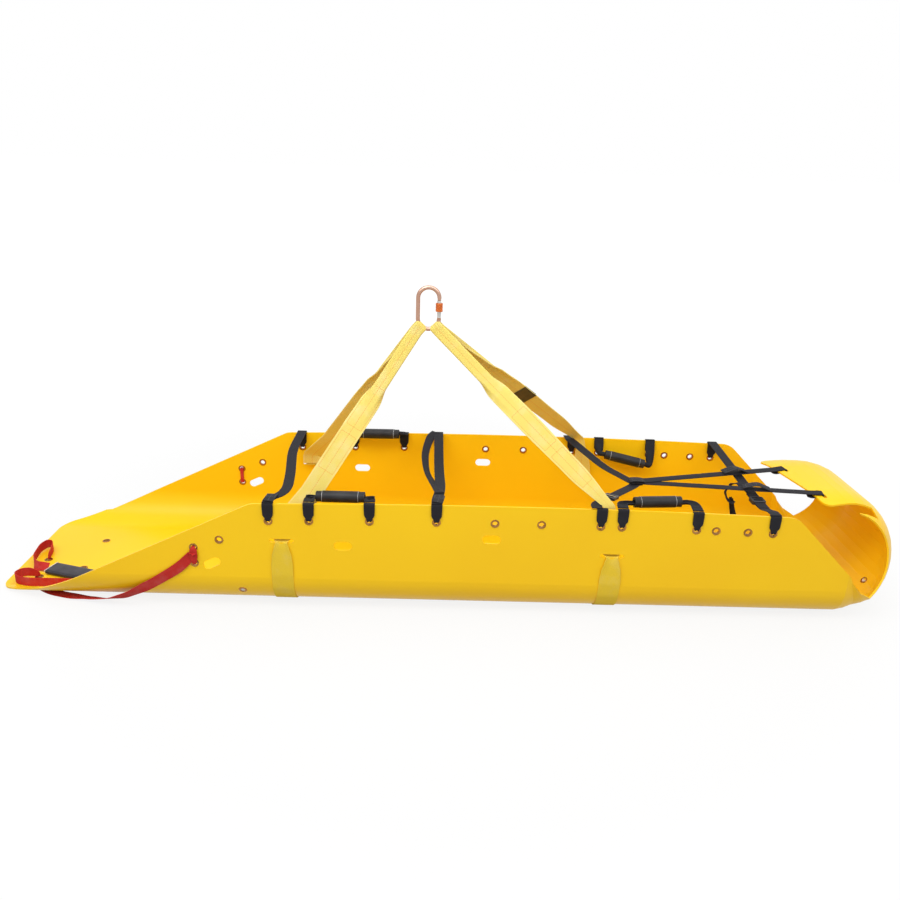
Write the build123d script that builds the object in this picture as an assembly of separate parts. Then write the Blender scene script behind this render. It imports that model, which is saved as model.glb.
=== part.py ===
from build123d import *
import math
import os

# Sheet shell: one flat plastic sheet bent into a trough, X along its length,
# +X toward the curled foot flap, Z up from the surface that it lies on.
SHEET = 4.0
HALF_LENGTH = 1078.0
HALF_WIDTH = 245.0
CORNER_RADIUS = 85.0
RIM_HEIGHT = 273.0
RIM_CROWN = 9.0
RIM_START_X = -451.0
RIM_END_REACH = 287.0
RIM_START_ROUND = 45.0
RIM_END_ROUND = 55.0
TAPER_DROP = 304.095
TIP_ROUND = 48.0

# Where round the corner bend the edge's side view ends and its plan view begins, in degrees
SIDE_CUT_MIDDLE = 70.0
SIDE_CUT_END = 50.0
PLAN_CUT_START = 60.0
PLAN_CUT_MIDDLE = 38.0
CUT_MARGIN = 100.0
WALL_CUT_IN = 45.0
HOLE_CUT = 24.0

# Foot flap: the end of the sheet, curled up and over
CURL_RADIUS = 142.0
FLAP_END_REACH = 222.0
FLAP_END_SKEW = 11.0
FLAP_END_ROUND = 22.0
FLAP_TRIM = 60.0
FLAP_HALF_WIDTH = 150.0
FLAP_DRIFT = -25.0
FLAP_ROLL = 4.0
FLAP_SLOT_PLACES = ((8.0, 40.0), (38.0, -122.0))
FLAP_SLOT_LENGTH = 40.0
FLAP_SLOT_WIDTH = 9.0
FLAP_LOOP_PLAY = 0.9
FLAP_LOOP_REACH = 5.0
FLAP_SLOT_DEPTH = 70.0
FLAP_KEEP = 200.0
FLAP_CUT_DEPTH = 47.0
NOTCH_END_REACH = 78.0
NOTCH_Z = 66.0
NOTCH_REACH = 30.0

# The flap's cross sections, evenly spaced round the curl: how much narrower its flat
# is than the trough's, corner radius, corner sweep in degrees and the straight lip
FLAP_STEP = 20.0
FLAP_SECTIONS = (
    (0.0, 85.0, 90.0, 75.0),
    (14.0, 88.0, 78.0, 35.0),
    (15.0, 112.0, 45.0, 10.0),
    (36.0, 130.0, 42.0, 10.0),
    (50.0, 138.0, 40.0, 10.0),
    (60.0, 142.0, 39.0, 10.0),
    (67.0, 150.0, 35.0, 10.0),
    (72.0, 160.0, 31.0, 10.0),
    (76.0, 178.0, 26.5, 10.0),
    (80.0, 205.0, 22.0, 10.0),
    (83.0, 240.0, 17.0, 10.0),
    (88.0, 300.0, 14.0, 10.0),
)
FLAP_RUN = 50.0
FLAP_DIP = 4.0

# Webbing
WEB = 2.0
STRAP_WIDTH = 25.0
SLING_WIDTH = 50.0
SLING_WEB = 3.0
GAP = 0.3
SHELL_LIFT = WEB + GAP

# Eyelets
EYELET_BORE = 12.0
EYELET_BARREL = 13.8
EYELET_HOLE = 14.0
EYELET_FLANGE = 20.0
EYELET_RIM = 1.2
EYELET_RIM_ROUND = 0.7
EYELET_DROP = 42.0
LOOP_NECK = 9.0
LOOP_TAPER = 18.0
LOOP_ROUND = 3.0

# Stations along the rim, and the other eyelets as station and height or station and Y
SHOULDER_X = -410.0
NEAR_HEAD_HANDLE_X = (-318.0, -181.0)
FAR_HEAD_HANDLE_X = (-262.0, -125.0)
MIDDLE_X = -29.0
SPARE_EYELETS_X = (104.0, 210.0, 609.0, 682.0)
HARNESS_X = 345.0
NEAR_FOOT_HANDLE_X = (393.0, 564.0)
FAR_FOOT_HANDLE_X = (420.0, 564.0)
LEG_X = 740.0

TOW_ANCHOR_X = -584.0
TOW_ANCHOR_Z = (121.0, 161.0)
TAPER_EYELET = (-524.0, 182.0)
TIP_EYELET_PLACES = ((68.0, -125.0), (52.0, -37.0), (157.0, -76.0), (157.0, 76.0))

# Hand slots: station, height and length of each oblong hole, both walls
SLOT_WIDTH = 21.0
SLOT_LENGTH = 42.0
HAND_SLOTS = ((-544.0, 121.0, 26.0), (-242.0, 173.0, 0.0), (98.0, 199.0, 0.0))

# Lifting slings
HEAD_SLING = (-382.0, 183.0)
FOOT_SLING = (378.0, 165.0)
SLING_SLOT_HEIGHT = 9.0
SLING_SLOT_PLAY = 3.0
LEG_LANDING = 12.0
BAND_BEND = 2.0
SLING_FLARE = 0.3
FOOT_SLING_RIM_X = 365.5
FOOT_SLING_RIM_WIDTH = 26.0
LEG_FOOT_GAP = 1.0
NECK_START = 1.0
NECK_REACH = 14.0
NECK_SPREAD = 2.0

# Carabiner: oval, face in the XZ plane
CARABINER_X = -61.0
BOW_Z = 655.0
BOW_RADIUS = 25.0
BOW_SPACING = 48.0
WIRE_RADIUS = 5.0
SADDLE_NEAR_ANGLE = 8.0
SADDLE_FAR_ANGLE = 80.0
SADDLE_LEG = 8.0
GATE_RADIUS = 5.0
GATE_PIVOT_Z = 7.0
GATE_FOOT_Z = 2.5
LUG_FOOT = 2.0
LUG_ROUND = 4.4
GATE_TOP_Z = 43.0
GATE_PIN_RADIUS = 1.5
GATE_PIN_LENGTH = 9.0
NOSE_RADIUS = 4.4
NOSE_Z = 44.0
RUNNING_FIT = 0.05
LUG_THICKNESS = 4.0
FORK_PLAY = 0.35
TONGUE_THICKNESS = 3.0
TONGUE_LENGTH = 4.5
TONGUE_WIDTH = 5.0
TONGUE_HEAD = 2.0
TONGUE_ROOT = 2.0
SLEEVE_RADIUS = 8.5
SLEEVE_LENGTH = 20.0
SLEEVE_Z = 17.0
SLEEVE_ROUND = 1.2
SLEEVE_GROOVE = 1.2
SLEEVE_GROOVE_PITCH = 6.7
SLEEVE_MOUTH_RADIUS = 6.0
SLEEVE_MOUTH_DEPTH = 8.0

# Grab handles
GRIP_RADIUS = 13.5
GRIP_LENGTH = 112.0
GRIP_WEB = 14.0
CUFF_LENGTH = 13.0
CUFF_STEP = 1.0
ROLL_RADIUS = 1.7
ROLL_GAP = 0.6

# Casualty straps, harness and tow strap: turning points of each run of webbing
REST_RISE = 2 * GAP + WEB + GAP + WEB / 2
OVER_RIM_REACH = 2.0
INSIDE_RIM_REACH = 23.0
SHOULDER_RUN = ((-417.0, 106.0, 272.0), (-401.0, -120.0, 276.0))
MIDDLE_RUN = ((-26.0, 42.0, 256.0), (-21.0, -120.0, 268.0))
LEG_RUN_Z = 262.0
LEG_LAP_Y = (-175.0, -85.0)
LEG_BUCKLE_Y = -128.0
HARNESS_OVER_X = 333.0
HARNESS_JOINT = (470.0, -30.0, 257.0)
HARNESS_FAR_TURN = (408.0, 80.0, 258.0)
PATCH_LENGTH = 34.0
PATCH_WIDTH = 27.0
PATCH_THICKNESS = 1.5
PATCH_ROUND = 8.0
HARNESS_LANDING = 27.0
HARNESS_OVERRUN = 11.0
LOCK_SHARE = 0.3
SETTLE_SHARE = 0.12
LAYER = WEB + 2 * GAP
PATCH_LAYER = 4.4
BUCKLE_LENGTH = 30.0
BUCKLE_WALL = 3.5
BUCKLE_SKIN = 2.2
BUCKLE_WINDOW = 8.0
BUCKLE_WINDOW_LENGTH = 23.0
BUCKLE_WINDOW_OFFSET = 6.0
BUCKLE_CHAMFER = 0.7
TOW_WEB = 1.6
TOW_EDGE_HEIGHT = 22.0
TOW_EDGE_FOOT = 9.0
TOW_STEM_LAP = 2.0

# Its run outside: share of the way from anchor to tip, inward of the wall, and height on the wall
TOW_RUN = ((0.069, 0.0, 110.0), (0.217, 0.0, 62.0), (0.356, 6.0, 26.0))
TOW_FLOOR = ((0.498, 21.0), (0.636, 38.0), (0.751, 57.0), (0.854, 97.0))

# Its coils and its handle: distance from the end of the tip, and Y
NEAR_COIL = ((52.0, -127.0), (31.0, -127.0), (19.0, -146.0), (32.0, -167.0), (64.0, -175.0))
INNER_RUN = ((118.0, -173.0), (218.0, -174.0), (338.0, -173.0))
FAR_COIL = ((51.0, -8.0), (40.0, 24.0), (23.0, 28.0), (15.0, 0.0), (26.0, -62.0), (44.0, -96.0))
TOW_GRIP_MOUTH = (78.0, -90.0)
TOW_GRIP_TURN = -17.0
TOW_GRIP_LENGTH = 150.0
TOW_GRIP_WIDTH = 50.0
TOW_GRIP_THICKNESS = 9.0
TOW_GRIP_Z = 13.0

TROUGH_TOP = 400.0
FLAT_HALF = HALF_WIDTH - CORNER_RADIUS
WALL_MID = HALF_WIDTH - SHEET / 2
RIM_END_X = HALF_LENGTH - RIM_END_REACH
RIM_MID_X = (RIM_START_X + RIM_END_X) / 2
RIM_HALF_RUN = (RIM_END_X - RIM_START_X) / 2
CURL_X = HALF_LENGTH - CURL_RADIUS
CURL_Z = SHELL_LIFT + CURL_RADIUS
TAPER_SLOPE = TAPER_DROP / (HALF_LENGTH + RIM_START_X)
FLAP_END_X = HALF_LENGTH - FLAP_END_REACH
FLAP_SLOTS = [(FLAP_END_X + x, y) for x, y in FLAP_SLOT_PLACES]
NOTCH_X = HALF_LENGTH - NOTCH_END_REACH
TIP_EYELETS = [(x - HALF_LENGTH, y) for x, y in TIP_EYELET_PLACES]
OVER_RIM_Y = HALF_WIDTH + OVER_RIM_REACH
INSIDE_RIM_Y = HALF_WIDTH - INSIDE_RIM_REACH
SIDES = {"near": -1, "far": 1}


def rim_z(x):
    """Height of the rim at station x: a shallow crown between its two ends."""
    share = (x - RIM_MID_X) / RIM_HALF_RUN
    return RIM_HEIGHT + RIM_CROWN * (1 - share * share)


def rim_eyelet(x):
    """Station and height of an eyelet below the rim."""
    return x, rim_z(x) - EYELET_DROP


NEAR_LOOPS_X = (SHOULDER_X, *NEAR_HEAD_HANDLE_X, MIDDLE_X, HARNESS_X, *NEAR_FOOT_HANDLE_X, LEG_X)
FAR_LOOPS_X = (SHOULDER_X, *FAR_HEAD_HANDLE_X, MIDDLE_X, HARNESS_X, *FAR_FOOT_HANDLE_X, LEG_X)
LOOPS_X = {"near": NEAR_LOOPS_X, "far": FAR_LOOPS_X}


def wall_eyelets(side):
    """Station and height of each eyelet in one wall."""
    places = [rim_eyelet(x) for x in (*LOOPS_X[side], *SPARE_EYELETS_X)]
    places.append(TAPER_EYELET)
    places += [(TOW_ANCHOR_X, z) for z in TOW_ANCHOR_Z]
    return places


def export(name, shape):
    """Write one node, with all its solids, to its own STEP file."""
    shape.label = name
    export_step(shape, f"parts/{name}.step")


def group(solids):
    """Several separate solids as one node."""
    return Compound(children=[s.solid() if hasattr(s, "solid") else s for s in solids])


def across(profile, x, width):
    """Extrude a YZ profile to a band of this width, centred on station x."""
    return Pos(x, 0, 0) * extrude(Plane.YZ * profile, amount=width / 2, both=True)


def along(profile, y, width):
    """Extrude an XZ profile to a slab of this width, centred on y."""
    side_view = Plane(origin=(0, 0, 0), x_dir=(1, 0, 0), z_dir=(0, -1, 0))
    return Pos(0, y, 0) * extrude(side_view * profile, amount=width / 2, both=True)


def ribbon(sections, thickness):
    """A band through cross sections, each a centre, a width direction, a travel and a width."""
    faces = []
    for centre, width_dir, travel, width in sections:
        plane = Plane(origin=centre, x_dir=width_dir, z_dir=travel)
        faces.append(plane * Rectangle(width, thickness))
    return loft(faces, ruled=True)


# Shell

def u_face(inset):
    """The trough's section, filled, at this depth below the outer face."""
    half = HALF_WIDTH - inset
    tall = TROUGH_TOP - inset
    block = Pos(0, SHELL_LIFT + inset + tall / 2) * Rectangle(2 * half, tall)
    corners = block.vertices().sort_by(Axis.Y)[:2]
    return fillet(corners, CORNER_RADIUS - inset)


def flap_section(angle, narrowing, radius, sweep, straight):
    """One thin cross section of the foot flap, square to the curl at this angle."""
    flat = FLAT_HALF - narrowing
    turn = math.radians(min(angle, 180))
    bend = math.radians(sweep)
    share = angle / (FLAP_STEP * (len(FLAP_SECTIONS) - 1))
    past = max(angle - 180, 0) / FLAP_STEP
    origin = Vector(
        CURL_X + CURL_RADIUS * math.sin(turn) - FLAP_RUN * past,
        FLAP_DRIFT * share,
        CURL_Z - CURL_RADIUS * math.cos(turn) - FLAP_DIP / 2 * past * past,
    )
    lean = FLAP_DIP / FLAP_RUN * past
    travel = (math.cos(turn + lean), 0, math.sin(turn + lean))
    plane = Plane(origin=origin, x_dir=(0, 1, 0), z_dir=travel)
    plane = plane.rotated((0, 0, FLAP_ROLL * share**3))

    def side(sign, depth):
        r = radius - depth
        knee = (sign * flat, depth)
        mid = (
            sign * (flat + r * math.sin(bend / 2)),
            radius - r * math.cos(bend / 2),
        )
        hip = (sign * (flat + r * math.sin(bend)), radius - r * math.cos(bend))
        end = (hip[0] + sign * straight * math.cos(bend), hip[1] + straight * math.sin(bend))
        return knee, mid, hip, end

    left_out = side(-1, 0)
    right_out = side(1, 0)
    left_in = side(-1, SHEET)
    right_in = side(1, SHEET)
    outline = [
        Line(left_out[3], left_out[2]),
        ThreePointArc(left_out[2], left_out[1], left_out[0]),
        Line(left_out[0], right_out[0]),
        ThreePointArc(right_out[0], right_out[1], right_out[2]),
        Line(right_out[2], right_out[3]),
        Line(right_out[3], right_in[3]),
        Line(right_in[3], right_in[2]),
        ThreePointArc(right_in[2], right_in[1], right_in[0]),
        Line(right_in[0], left_in[0]),
        ThreePointArc(left_in[0], left_in[1], left_in[2]),
        Line(left_in[2], left_in[3]),
        Line(left_in[3], left_out[3]),
    ]
    return plane * make_face(outline)


def foot_flap():
    """The curled end: the trough's section flattens and narrows as it goes round."""
    rows = []
    for first, second in zip(FLAP_SECTIONS, FLAP_SECTIONS[1:]):
        rows.append(first)
        rows.append([(a + b) / 2 for a, b in zip(first, second)])
    rows.append(FLAP_SECTIONS[-1])
    sections = [flap_section(FLAP_STEP / 2 * i, *row) for i, row in enumerate(rows)]
    return loft(sections, ruled=True)


def taper_point(arc_angle):
    """Where the tapered edge crosses the corner bend, at this angle from straight down."""
    turn = math.radians(arc_angle)
    depth = (math.pi / 2 - turn) * CORNER_RADIUS
    knee_x = RIM_START_X - (rim_z(RIM_START_X) - SHELL_LIFT - CORNER_RADIUS) / TAPER_SLOPE
    x = knee_x - depth / TAPER_SLOPE
    y = FLAT_HALF + CORNER_RADIUS * math.sin(turn)
    z = SHELL_LIFT + CORNER_RADIUS * (1 - math.cos(turn))
    return x, y, z


def rim_cut():
    """Side view of all that is cut from the walls: above the taper, the rim and the foot edge."""
    bend = (RIM_START_X, rim_z(RIM_START_X))
    rim_end = (RIM_END_X, rim_z(RIM_END_X))
    knee = taper_point(90)
    middle = taper_point(SIDE_CUT_MIDDLE)
    low = taper_point(SIDE_CUT_END)
    left = -HALF_LENGTH - CUT_MARGIN
    above = TROUGH_TOP + CUT_MARGIN
    right = NOTCH_X - NOTCH_REACH
    foot_slope = (rim_end[1] - NOTCH_Z) / (NOTCH_X - RIM_END_X)
    foot = (right, NOTCH_Z + NOTCH_REACH * foot_slope)
    outline = [
        Line(bend, (knee[0], knee[2])),
        ThreePointArc((knee[0], knee[2]), (middle[0], middle[2]), (low[0], low[2])),
        Line((low[0], low[2]), (left, low[2])),
        Line((left, low[2]), (left, above)),
        Line((left, above), (right, above)),
        Line((right, above), foot),
        Line(foot, rim_end),
        ThreePointArc(rim_end, (RIM_MID_X, rim_z(RIM_MID_X)), bend),
    ]
    face = make_face(outline)
    start = face.vertices().sort_by_distance(bend)[0]
    face = fillet(start, RIM_START_ROUND)
    end = face.vertices().sort_by_distance(rim_end)[0]
    return fillet(end, RIM_END_ROUND)


def tip_plan():
    """Plan view of the low tip: the sheet's edge runs in along the corner bend."""
    start = taper_point(PLAN_CUT_START)
    middle = taper_point(PLAN_CUT_MIDDLE)
    tip_turn = (-HALF_LENGTH - taper_point(90)[0]) * TAPER_SLOPE / CORNER_RADIUS + math.pi / 2
    end = taper_point(math.degrees(tip_turn))
    outline = []
    for sign in (-1, 1):
        outline.append(
            ThreePointArc(
                (start[0], sign * start[1]), (middle[0], sign * middle[1]), (end[0], sign * end[1])
            )
        )
    outline.append(Line((end[0], -end[1]), (end[0], end[1])))
    outline.append(Line((start[0], -start[1]), (start[0], start[1])))
    face = make_face(outline)
    corners = face.vertices().sort_by(Axis.X)[:2]
    return fillet(corners, TIP_ROUND)


def wall_cutters():
    """Cutters for every hole through the two walls."""
    cutters = []
    for side, sign in SIDES.items():
        for x, z in wall_eyelets(side):
            cutters.append(Pos(x, sign * WALL_MID, z) * Rot(90, 0, 0) * Cylinder(EYELET_HOLE / 2, HOLE_CUT))
        for x, z, tilt in HAND_SLOTS:
            outline = Rot(0, 0, tilt) * SlotOverall(SLOT_LENGTH, SLOT_WIDTH)
            cutters.append(Pos(x, 0, z) * along(outline, sign * WALL_MID, HOLE_CUT))
        for x, z in (HEAD_SLING, FOOT_SLING):
            outline = SlotOverall(SLING_WIDTH + 2 * SLING_SLOT_PLAY, SLING_SLOT_HEIGHT)
            cutters.append(Pos(x, 0, z) * along(outline, sign * WALL_MID, HOLE_CUT))
    return cutters


def flap_end_cut():
    """Cutter that ends the flap along a skewed line with two rounded corners."""
    kept = Rectangle(2 * FLAP_KEEP, 2 * FLAP_HALF_WIDTH)
    left = kept.vertices().sort_by(Axis.X)[:2]
    kept = Pos(FLAP_KEEP, 0) * fillet(left, FLAP_END_ROUND)
    frame = Rectangle(FLAP_KEEP + FLAP_RUN, 2 * FLAP_HALF_WIDTH + FLAP_TRIM)
    plan = frame - kept
    place = Pos(FLAP_END_X, FLAP_DRIFT, CURL_Z + CURL_RADIUS) * Rot(0, 0, FLAP_END_SKEW)
    return extrude(place * plan, amount=FLAP_CUT_DEPTH, both=True)


def shell():
    """The whole sheet: trough, tapered tip, curled flap, slots and eyelet holes."""
    trough = Plane.YZ.offset(-HALF_LENGTH) * (u_face(0) - u_face(SHEET))
    body = extrude(trough, amount=CURL_X + HALF_LENGTH)
    body += foot_flap()
    wall_band = WALL_CUT_IN + 5 * SHEET
    for sign in SIDES.values():
        body -= along(rim_cut(), sign * (HALF_WIDTH - WALL_CUT_IN + wall_band / 2), wall_band)
    tip_start = taper_point(PLAN_CUT_START)[0]
    tip_length = HALF_LENGTH + tip_start + CUT_MARGIN
    tip_box = Pos(tip_start - tip_length / 2, 0, 0) * Box(tip_length, 3 * HALF_WIDTH, 2 * RIM_HEIGHT)
    body -= tip_box - extrude(tip_plan(), amount=2 * RIM_HEIGHT, both=True)
    body -= flap_end_cut()
    for x, y in FLAP_SLOTS:
        slot = SlotOverall(FLAP_SLOT_LENGTH, FLAP_SLOT_WIDTH)
        slot = Pos(x, y, CURL_Z + CURL_RADIUS) * Rot(0, 0, 90 + FLAP_END_SKEW) * slot
        body -= extrude(slot, amount=FLAP_SLOT_DEPTH, both=True)
    body -= wall_cutters()
    for x, y in TIP_EYELETS:
        body -= Pos(x, y, SHELL_LIFT) * Cylinder(EYELET_HOLE / 2, HOLE_CUT)
    return body


# Eyelets

def eyelet():
    """One brass eyelet: a barrel through the sheet, a rolled flange on each face."""
    body = Cylinder(EYELET_BARREL / 2, SHEET)
    for sign in SIDES.values():
        flange = Cylinder(EYELET_FLANGE / 2, EYELET_RIM)
        outer = flange.edges().filter_by(GeomType.CIRCLE).sort_by(Axis.Z)
        flange = fillet(outer[-1 if sign > 0 else 0], EYELET_RIM_ROUND)
        body += Pos(0, 0, sign * (SHEET + EYELET_RIM) / 2) * flange
    return body - Cylinder(EYELET_BORE / 2, HOLE_CUT)


def wall_eyelet_set(side):
    """All the eyelets of one wall."""
    sign = SIDES[side]
    master = eyelet()
    return [Pos(x, sign * WALL_MID, z) * Rot(90, 0, 0) * master for x, z in wall_eyelets(side)]


def tip_eyelet_set():
    """The eyelets in the floor of the tip."""
    master = eyelet()
    return [Pos(x, y, SHELL_LIFT + SHEET / 2) * master for x, y in TIP_EYELETS]


# Webbing over the rim

def rim_loop(x, side):
    """A closed turn of webbing over the rim, drawn narrow through its eyelet."""
    sign = SIDES[side]
    hole_z = rim_z(x) - EYELET_DROP
    top = rim_z(x) + 2 * GAP + WEB
    bottom = hole_z - WEB / 2
    half = SHEET / 2 + EYELET_RIM + GAP + WEB
    outer = Pos(sign * WALL_MID, (top + bottom) / 2) * Rectangle(2 * half, top - bottom)
    outer = fillet(outer.vertices().sort_by(Axis.Y)[2:], LOOP_ROUND)
    tall = top - bottom - 2 * WEB
    inner = Pos(sign * WALL_MID, (top + bottom) / 2) * Rectangle(2 * (half - WEB), tall)
    inner = fillet(inner.vertices().sort_by(Axis.Y)[2:], WEB / 2)
    band = across(outer - inner, x, STRAP_WIDTH)
    neck = LOOP_NECK / 2
    face = Polygon(
        (x - STRAP_WIDTH / 2, top + WEB),
        (x - STRAP_WIDTH / 2, hole_z + LOOP_TAPER),
        (x - neck, hole_z + WEB),
        (x - neck, bottom - WEB),
        (x + neck, bottom - WEB),
        (x + neck, hole_z + WEB),
        (x + STRAP_WIDTH / 2, hole_z + LOOP_TAPER),
        (x + STRAP_WIDTH / 2, top + WEB),
        align=None,
    )
    return band & along(face, sign * WALL_MID, HOLE_CUT)


# Grab handles

def hinge_end(side, x):
    """Where a handle's hinge axis crosses the rim loop at x, off its rounded inner corner."""
    step = (LOOP_ROUND + ROLL_GAP + ROLL_RADIUS) / math.sqrt(2)
    corner_y = WALL_MID - (SHEET / 2 + EYELET_RIM + GAP + WEB) + LOOP_ROUND
    corner_z = rim_z(x) + 2 * GAP + WEB - LOOP_ROUND
    return Vector(x, SIDES[side] * (corner_y - step), corner_z + step)


def handle_place(side, stations, lean):
    """Location of a handle: local X along its hinge axis, local Y from there to the grip."""
    start, end = [hinge_end(side, x) for x in stations]
    level = Plane(origin=(start + end) / 2, x_dir=end - start, z_dir=Vector(0, 1, 0).cross(start - end))
    angle = lean if side == "near" else 180 - lean
    return level.location * Rot(angle, 0, 0)


def grip_line(stations, reaches):
    """Middle, tilt and length of a handle's bar, in the handle's own plane."""
    span = stations[1] - stations[0]
    rise = reaches[1] - reaches[0]
    return sum(reaches) / 2, math.degrees(math.atan2(rise, span)), math.hypot(span, rise)


def handle_strap(side, stations, reaches, lean):
    """The handle's webbing: two arms, rolled at the rim loops, and the bar inside the grip."""
    half = (stations[1] - stations[0]) / 2
    middle, tilt, length = grip_line(stations, reaches)
    plan = Pos(0, middle) * Rot(0, 0, tilt) * SlotOverall(length + GRIP_WEB, GRIP_WEB)
    for sign, reach in ((-1, reaches[0]), (1, reaches[1])):
        plan += Polygon(
            (sign * half - STRAP_WIDTH / 2, 0),
            (sign * half + STRAP_WIDTH / 2, 0),
            (sign * half + GRIP_WEB / 2, reach),
            (sign * half - GRIP_WEB / 2, reach),
            align=None,
        )
    body = extrude(plan, amount=WEB / 2, both=True)
    for sign in (-1, 1):
        body += Pos(sign * half, 0, 0) * Rot(0, 90, 0) * Cylinder(ROLL_RADIUS, STRAP_WIDTH)
    return handle_place(side, stations, lean) * body


def handle_grip(side, stations, reaches, lean):
    """A tubular rubber grip with a plain cuff at each end."""
    barrel = Cylinder(GRIP_RADIUS, GRIP_LENGTH - 2 * CUFF_LENGTH)
    body = barrel + Cylinder(GRIP_RADIUS - CUFF_STEP, GRIP_LENGTH)
    body = fillet(body.edges().filter_by(GeomType.CIRCLE).group_by(Axis.Z)[0], CUFF_STEP)
    body = fillet(body.edges().filter_by(GeomType.CIRCLE).group_by(Axis.Z)[-1], CUFF_STEP)
    body -= Cylinder(GRIP_WEB / 2 + GAP, 2 * GRIP_LENGTH)
    middle, tilt, _ = grip_line(stations, reaches)
    return handle_place(side, stations, lean) * Pos(0, middle, 0) * Rot(0, 0, tilt) * Rot(0, 90, 0) * body


# Lifting slings

def belly_band(place):
    """The sling's lower run: out through one wall slot, under the trough, in at the other."""
    x, z = place
    y_in = HALF_WIDTH - SHEET - LEG_LANDING
    y_out = HALF_WIDTH + GAP + WEB / 2
    low = SHELL_LIFT - GAP - WEB / 2
    round_out = CORNER_RADIUS + GAP + WEB / 2
    right = [(y_in, z), (y_out - BAND_BEND, z)]
    lines = Line(right[0], right[1])
    lines += JernArc(right[1], (1, 0), BAND_BEND, -90)
    lines += Line((y_out, z - BAND_BEND), (y_out, low + round_out))
    lines += JernArc((y_out, low + round_out), (0, -1), round_out, -90)
    lines += Line((y_out - round_out, low), (0, low))
    half = trace(lines, WEB)
    profile = half + mirror(half, Plane.YZ)
    return across(profile, x, SLING_WIDTH)


def saddle(near_angle, far_angle):
    """A sling folded narrow over the carabiner's lower bow, open below."""
    inner = WIRE_RADIUS + GAP
    outer = inner + SLING_WEB
    turn = Circle(outer) - Circle(inner)
    turn &= Pos(-outer, 0) * Rectangle(2 * outer, 2 * outer)
    legs = Pos(SADDLE_LEG / 2, 0) * Rectangle(SADDLE_LEG, 2 * outer)
    legs -= Pos(SADDLE_LEG / 2, 0) * Rectangle(SADDLE_LEG, 2 * inner)
    profile = Pos(BOW_RADIUS, 0) * (turn + legs)
    plane = Plane(
        origin=(CARABINER_X, 0, BOW_Z),
        x_dir=(math.sin(math.radians(near_angle)), 0, -math.cos(math.radians(near_angle))),
        z_dir=(-math.cos(math.radians(near_angle)), 0, -math.sin(math.radians(near_angle))),
    )
    axis = Axis((CARABINER_X, 0, BOW_Z), (0, -1, 0))
    return revolve(plane * profile, axis=axis, revolution_arc=far_angle - near_angle)


def sling_legs(place, saddle_sign):
    """Both upper legs of a sling in one piece with the fold over the carabiner."""
    x, z = place
    near = saddle_sign * SADDLE_NEAR_ANGLE
    far = saddle_sign * SADDLE_FAR_ANGLE
    body = saddle(min(near, far), max(near, far))
    middle = math.radians((near + far) / 2)
    tangent = Vector(math.cos(middle), 0, math.sin(middle))
    outward = Vector(math.sin(middle), 0, -math.cos(middle))
    bow = Vector(CARABINER_X, 0, BOW_Z)
    top_width = 2 * (BOW_RADIUS - WIRE_RADIUS) * math.sin(math.radians(SADDLE_FAR_ANGLE - SADDLE_NEAR_ANGLE) / 2)
    for sign in SIDES.values():
        side = WIRE_RADIUS + GAP + SLING_WEB / 2
        top = bow + outward * (BOW_RADIUS + NECK_START) + Vector(0, sign * side, 0)
        neck = bow + outward * (BOW_RADIUS + NECK_REACH) + Vector(0, sign * (side + NECK_SPREAD), 0)
        inside = sign * (HALF_WIDTH - SHEET - LEG_LANDING)
        foot = Vector(x, inside, z + SLING_SLOT_HEIGHT / 2 + LEG_FOOT_GAP)
        ends = [(foot, Vector(1, 0, 0), Vector(0, 0, -1), SLING_WIDTH)]
        turn = foot
        if saddle_sign > 0:
            turn = Vector(FOOT_SLING_RIM_X, inside, rim_z(x))
            ends.insert(0, (turn, Vector(1, 0, 0), Vector(0, 0, -1), FOOT_SLING_RIM_WIDTH))
        run = turn - neck
        travel = run.normalized()
        across_dir = (Vector(1, 0, 0) - travel * travel.X).normalized()
        full = neck + run * SLING_FLARE
        spread = (tangent * (1 - SLING_FLARE) + across_dir * SLING_FLARE).normalized()
        body += ribbon(
            [
                (top, tangent, outward, top_width),
                (neck, tangent, travel, top_width),
                (full, spread, travel, SLING_WIDTH),
                *ends,
            ],
            SLING_WEB,
        )
    return body


# Casualty straps

def webbing(points, width_dirs, width=STRAP_WIDTH, thickness=WEB):
    """A flat strap through these points, each with the direction of its width."""
    path = [Vector(*p) for p in points]
    sections = []
    for i, (point, width_dir) in enumerate(zip(path, width_dirs)):
        back = path[max(i - 1, 0)]
        ahead = path[min(i + 1, len(path) - 1)]
        travel = (ahead - back).normalized()
        level = Vector(*width_dir)
        level = (level - travel * level.dot(travel)).normalized()
        sections.append((point, level, travel, width))
    return ribbon(sections, thickness)


def over_rim(x, sign):
    """The two points where a strap lies over its rim loop and bends down inside."""
    z = rim_z(x) + REST_RISE
    return (x, sign * OVER_RIM_Y, z), (x, sign * INSIDE_RIM_Y, z)


def cross_strap(x, run):
    """A strap from one rim to the other by way of these points."""
    far_over, far_inside = over_rim(x, 1)
    near_over, near_inside = over_rim(x, -1)
    points = [far_over, far_inside, *run, near_inside, near_over]
    return webbing(points, [(1, 0, 0)] * len(points))


def leg_webs():
    """The leg strap's two halves, lapped one over the other where the buckle holds them."""
    lap_near, lap_far = LEG_LAP_Y
    upper = LEG_RUN_Z + WEB + GAP
    far_over, far_inside = over_rim(LEG_X, 1)
    near_over, near_inside = over_rim(LEG_X, -1)
    far_points = [far_over, far_inside, (LEG_X, lap_far + WEB, upper), (LEG_X, lap_near, upper)]
    near_points = [near_over, near_inside, (LEG_X, lap_near - WEB, LEG_RUN_Z), (LEG_X, lap_far, LEG_RUN_Z)]
    widths = [(1, 0, 0)] * 4
    return webbing(far_points, widths), webbing(near_points, widths)


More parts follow.
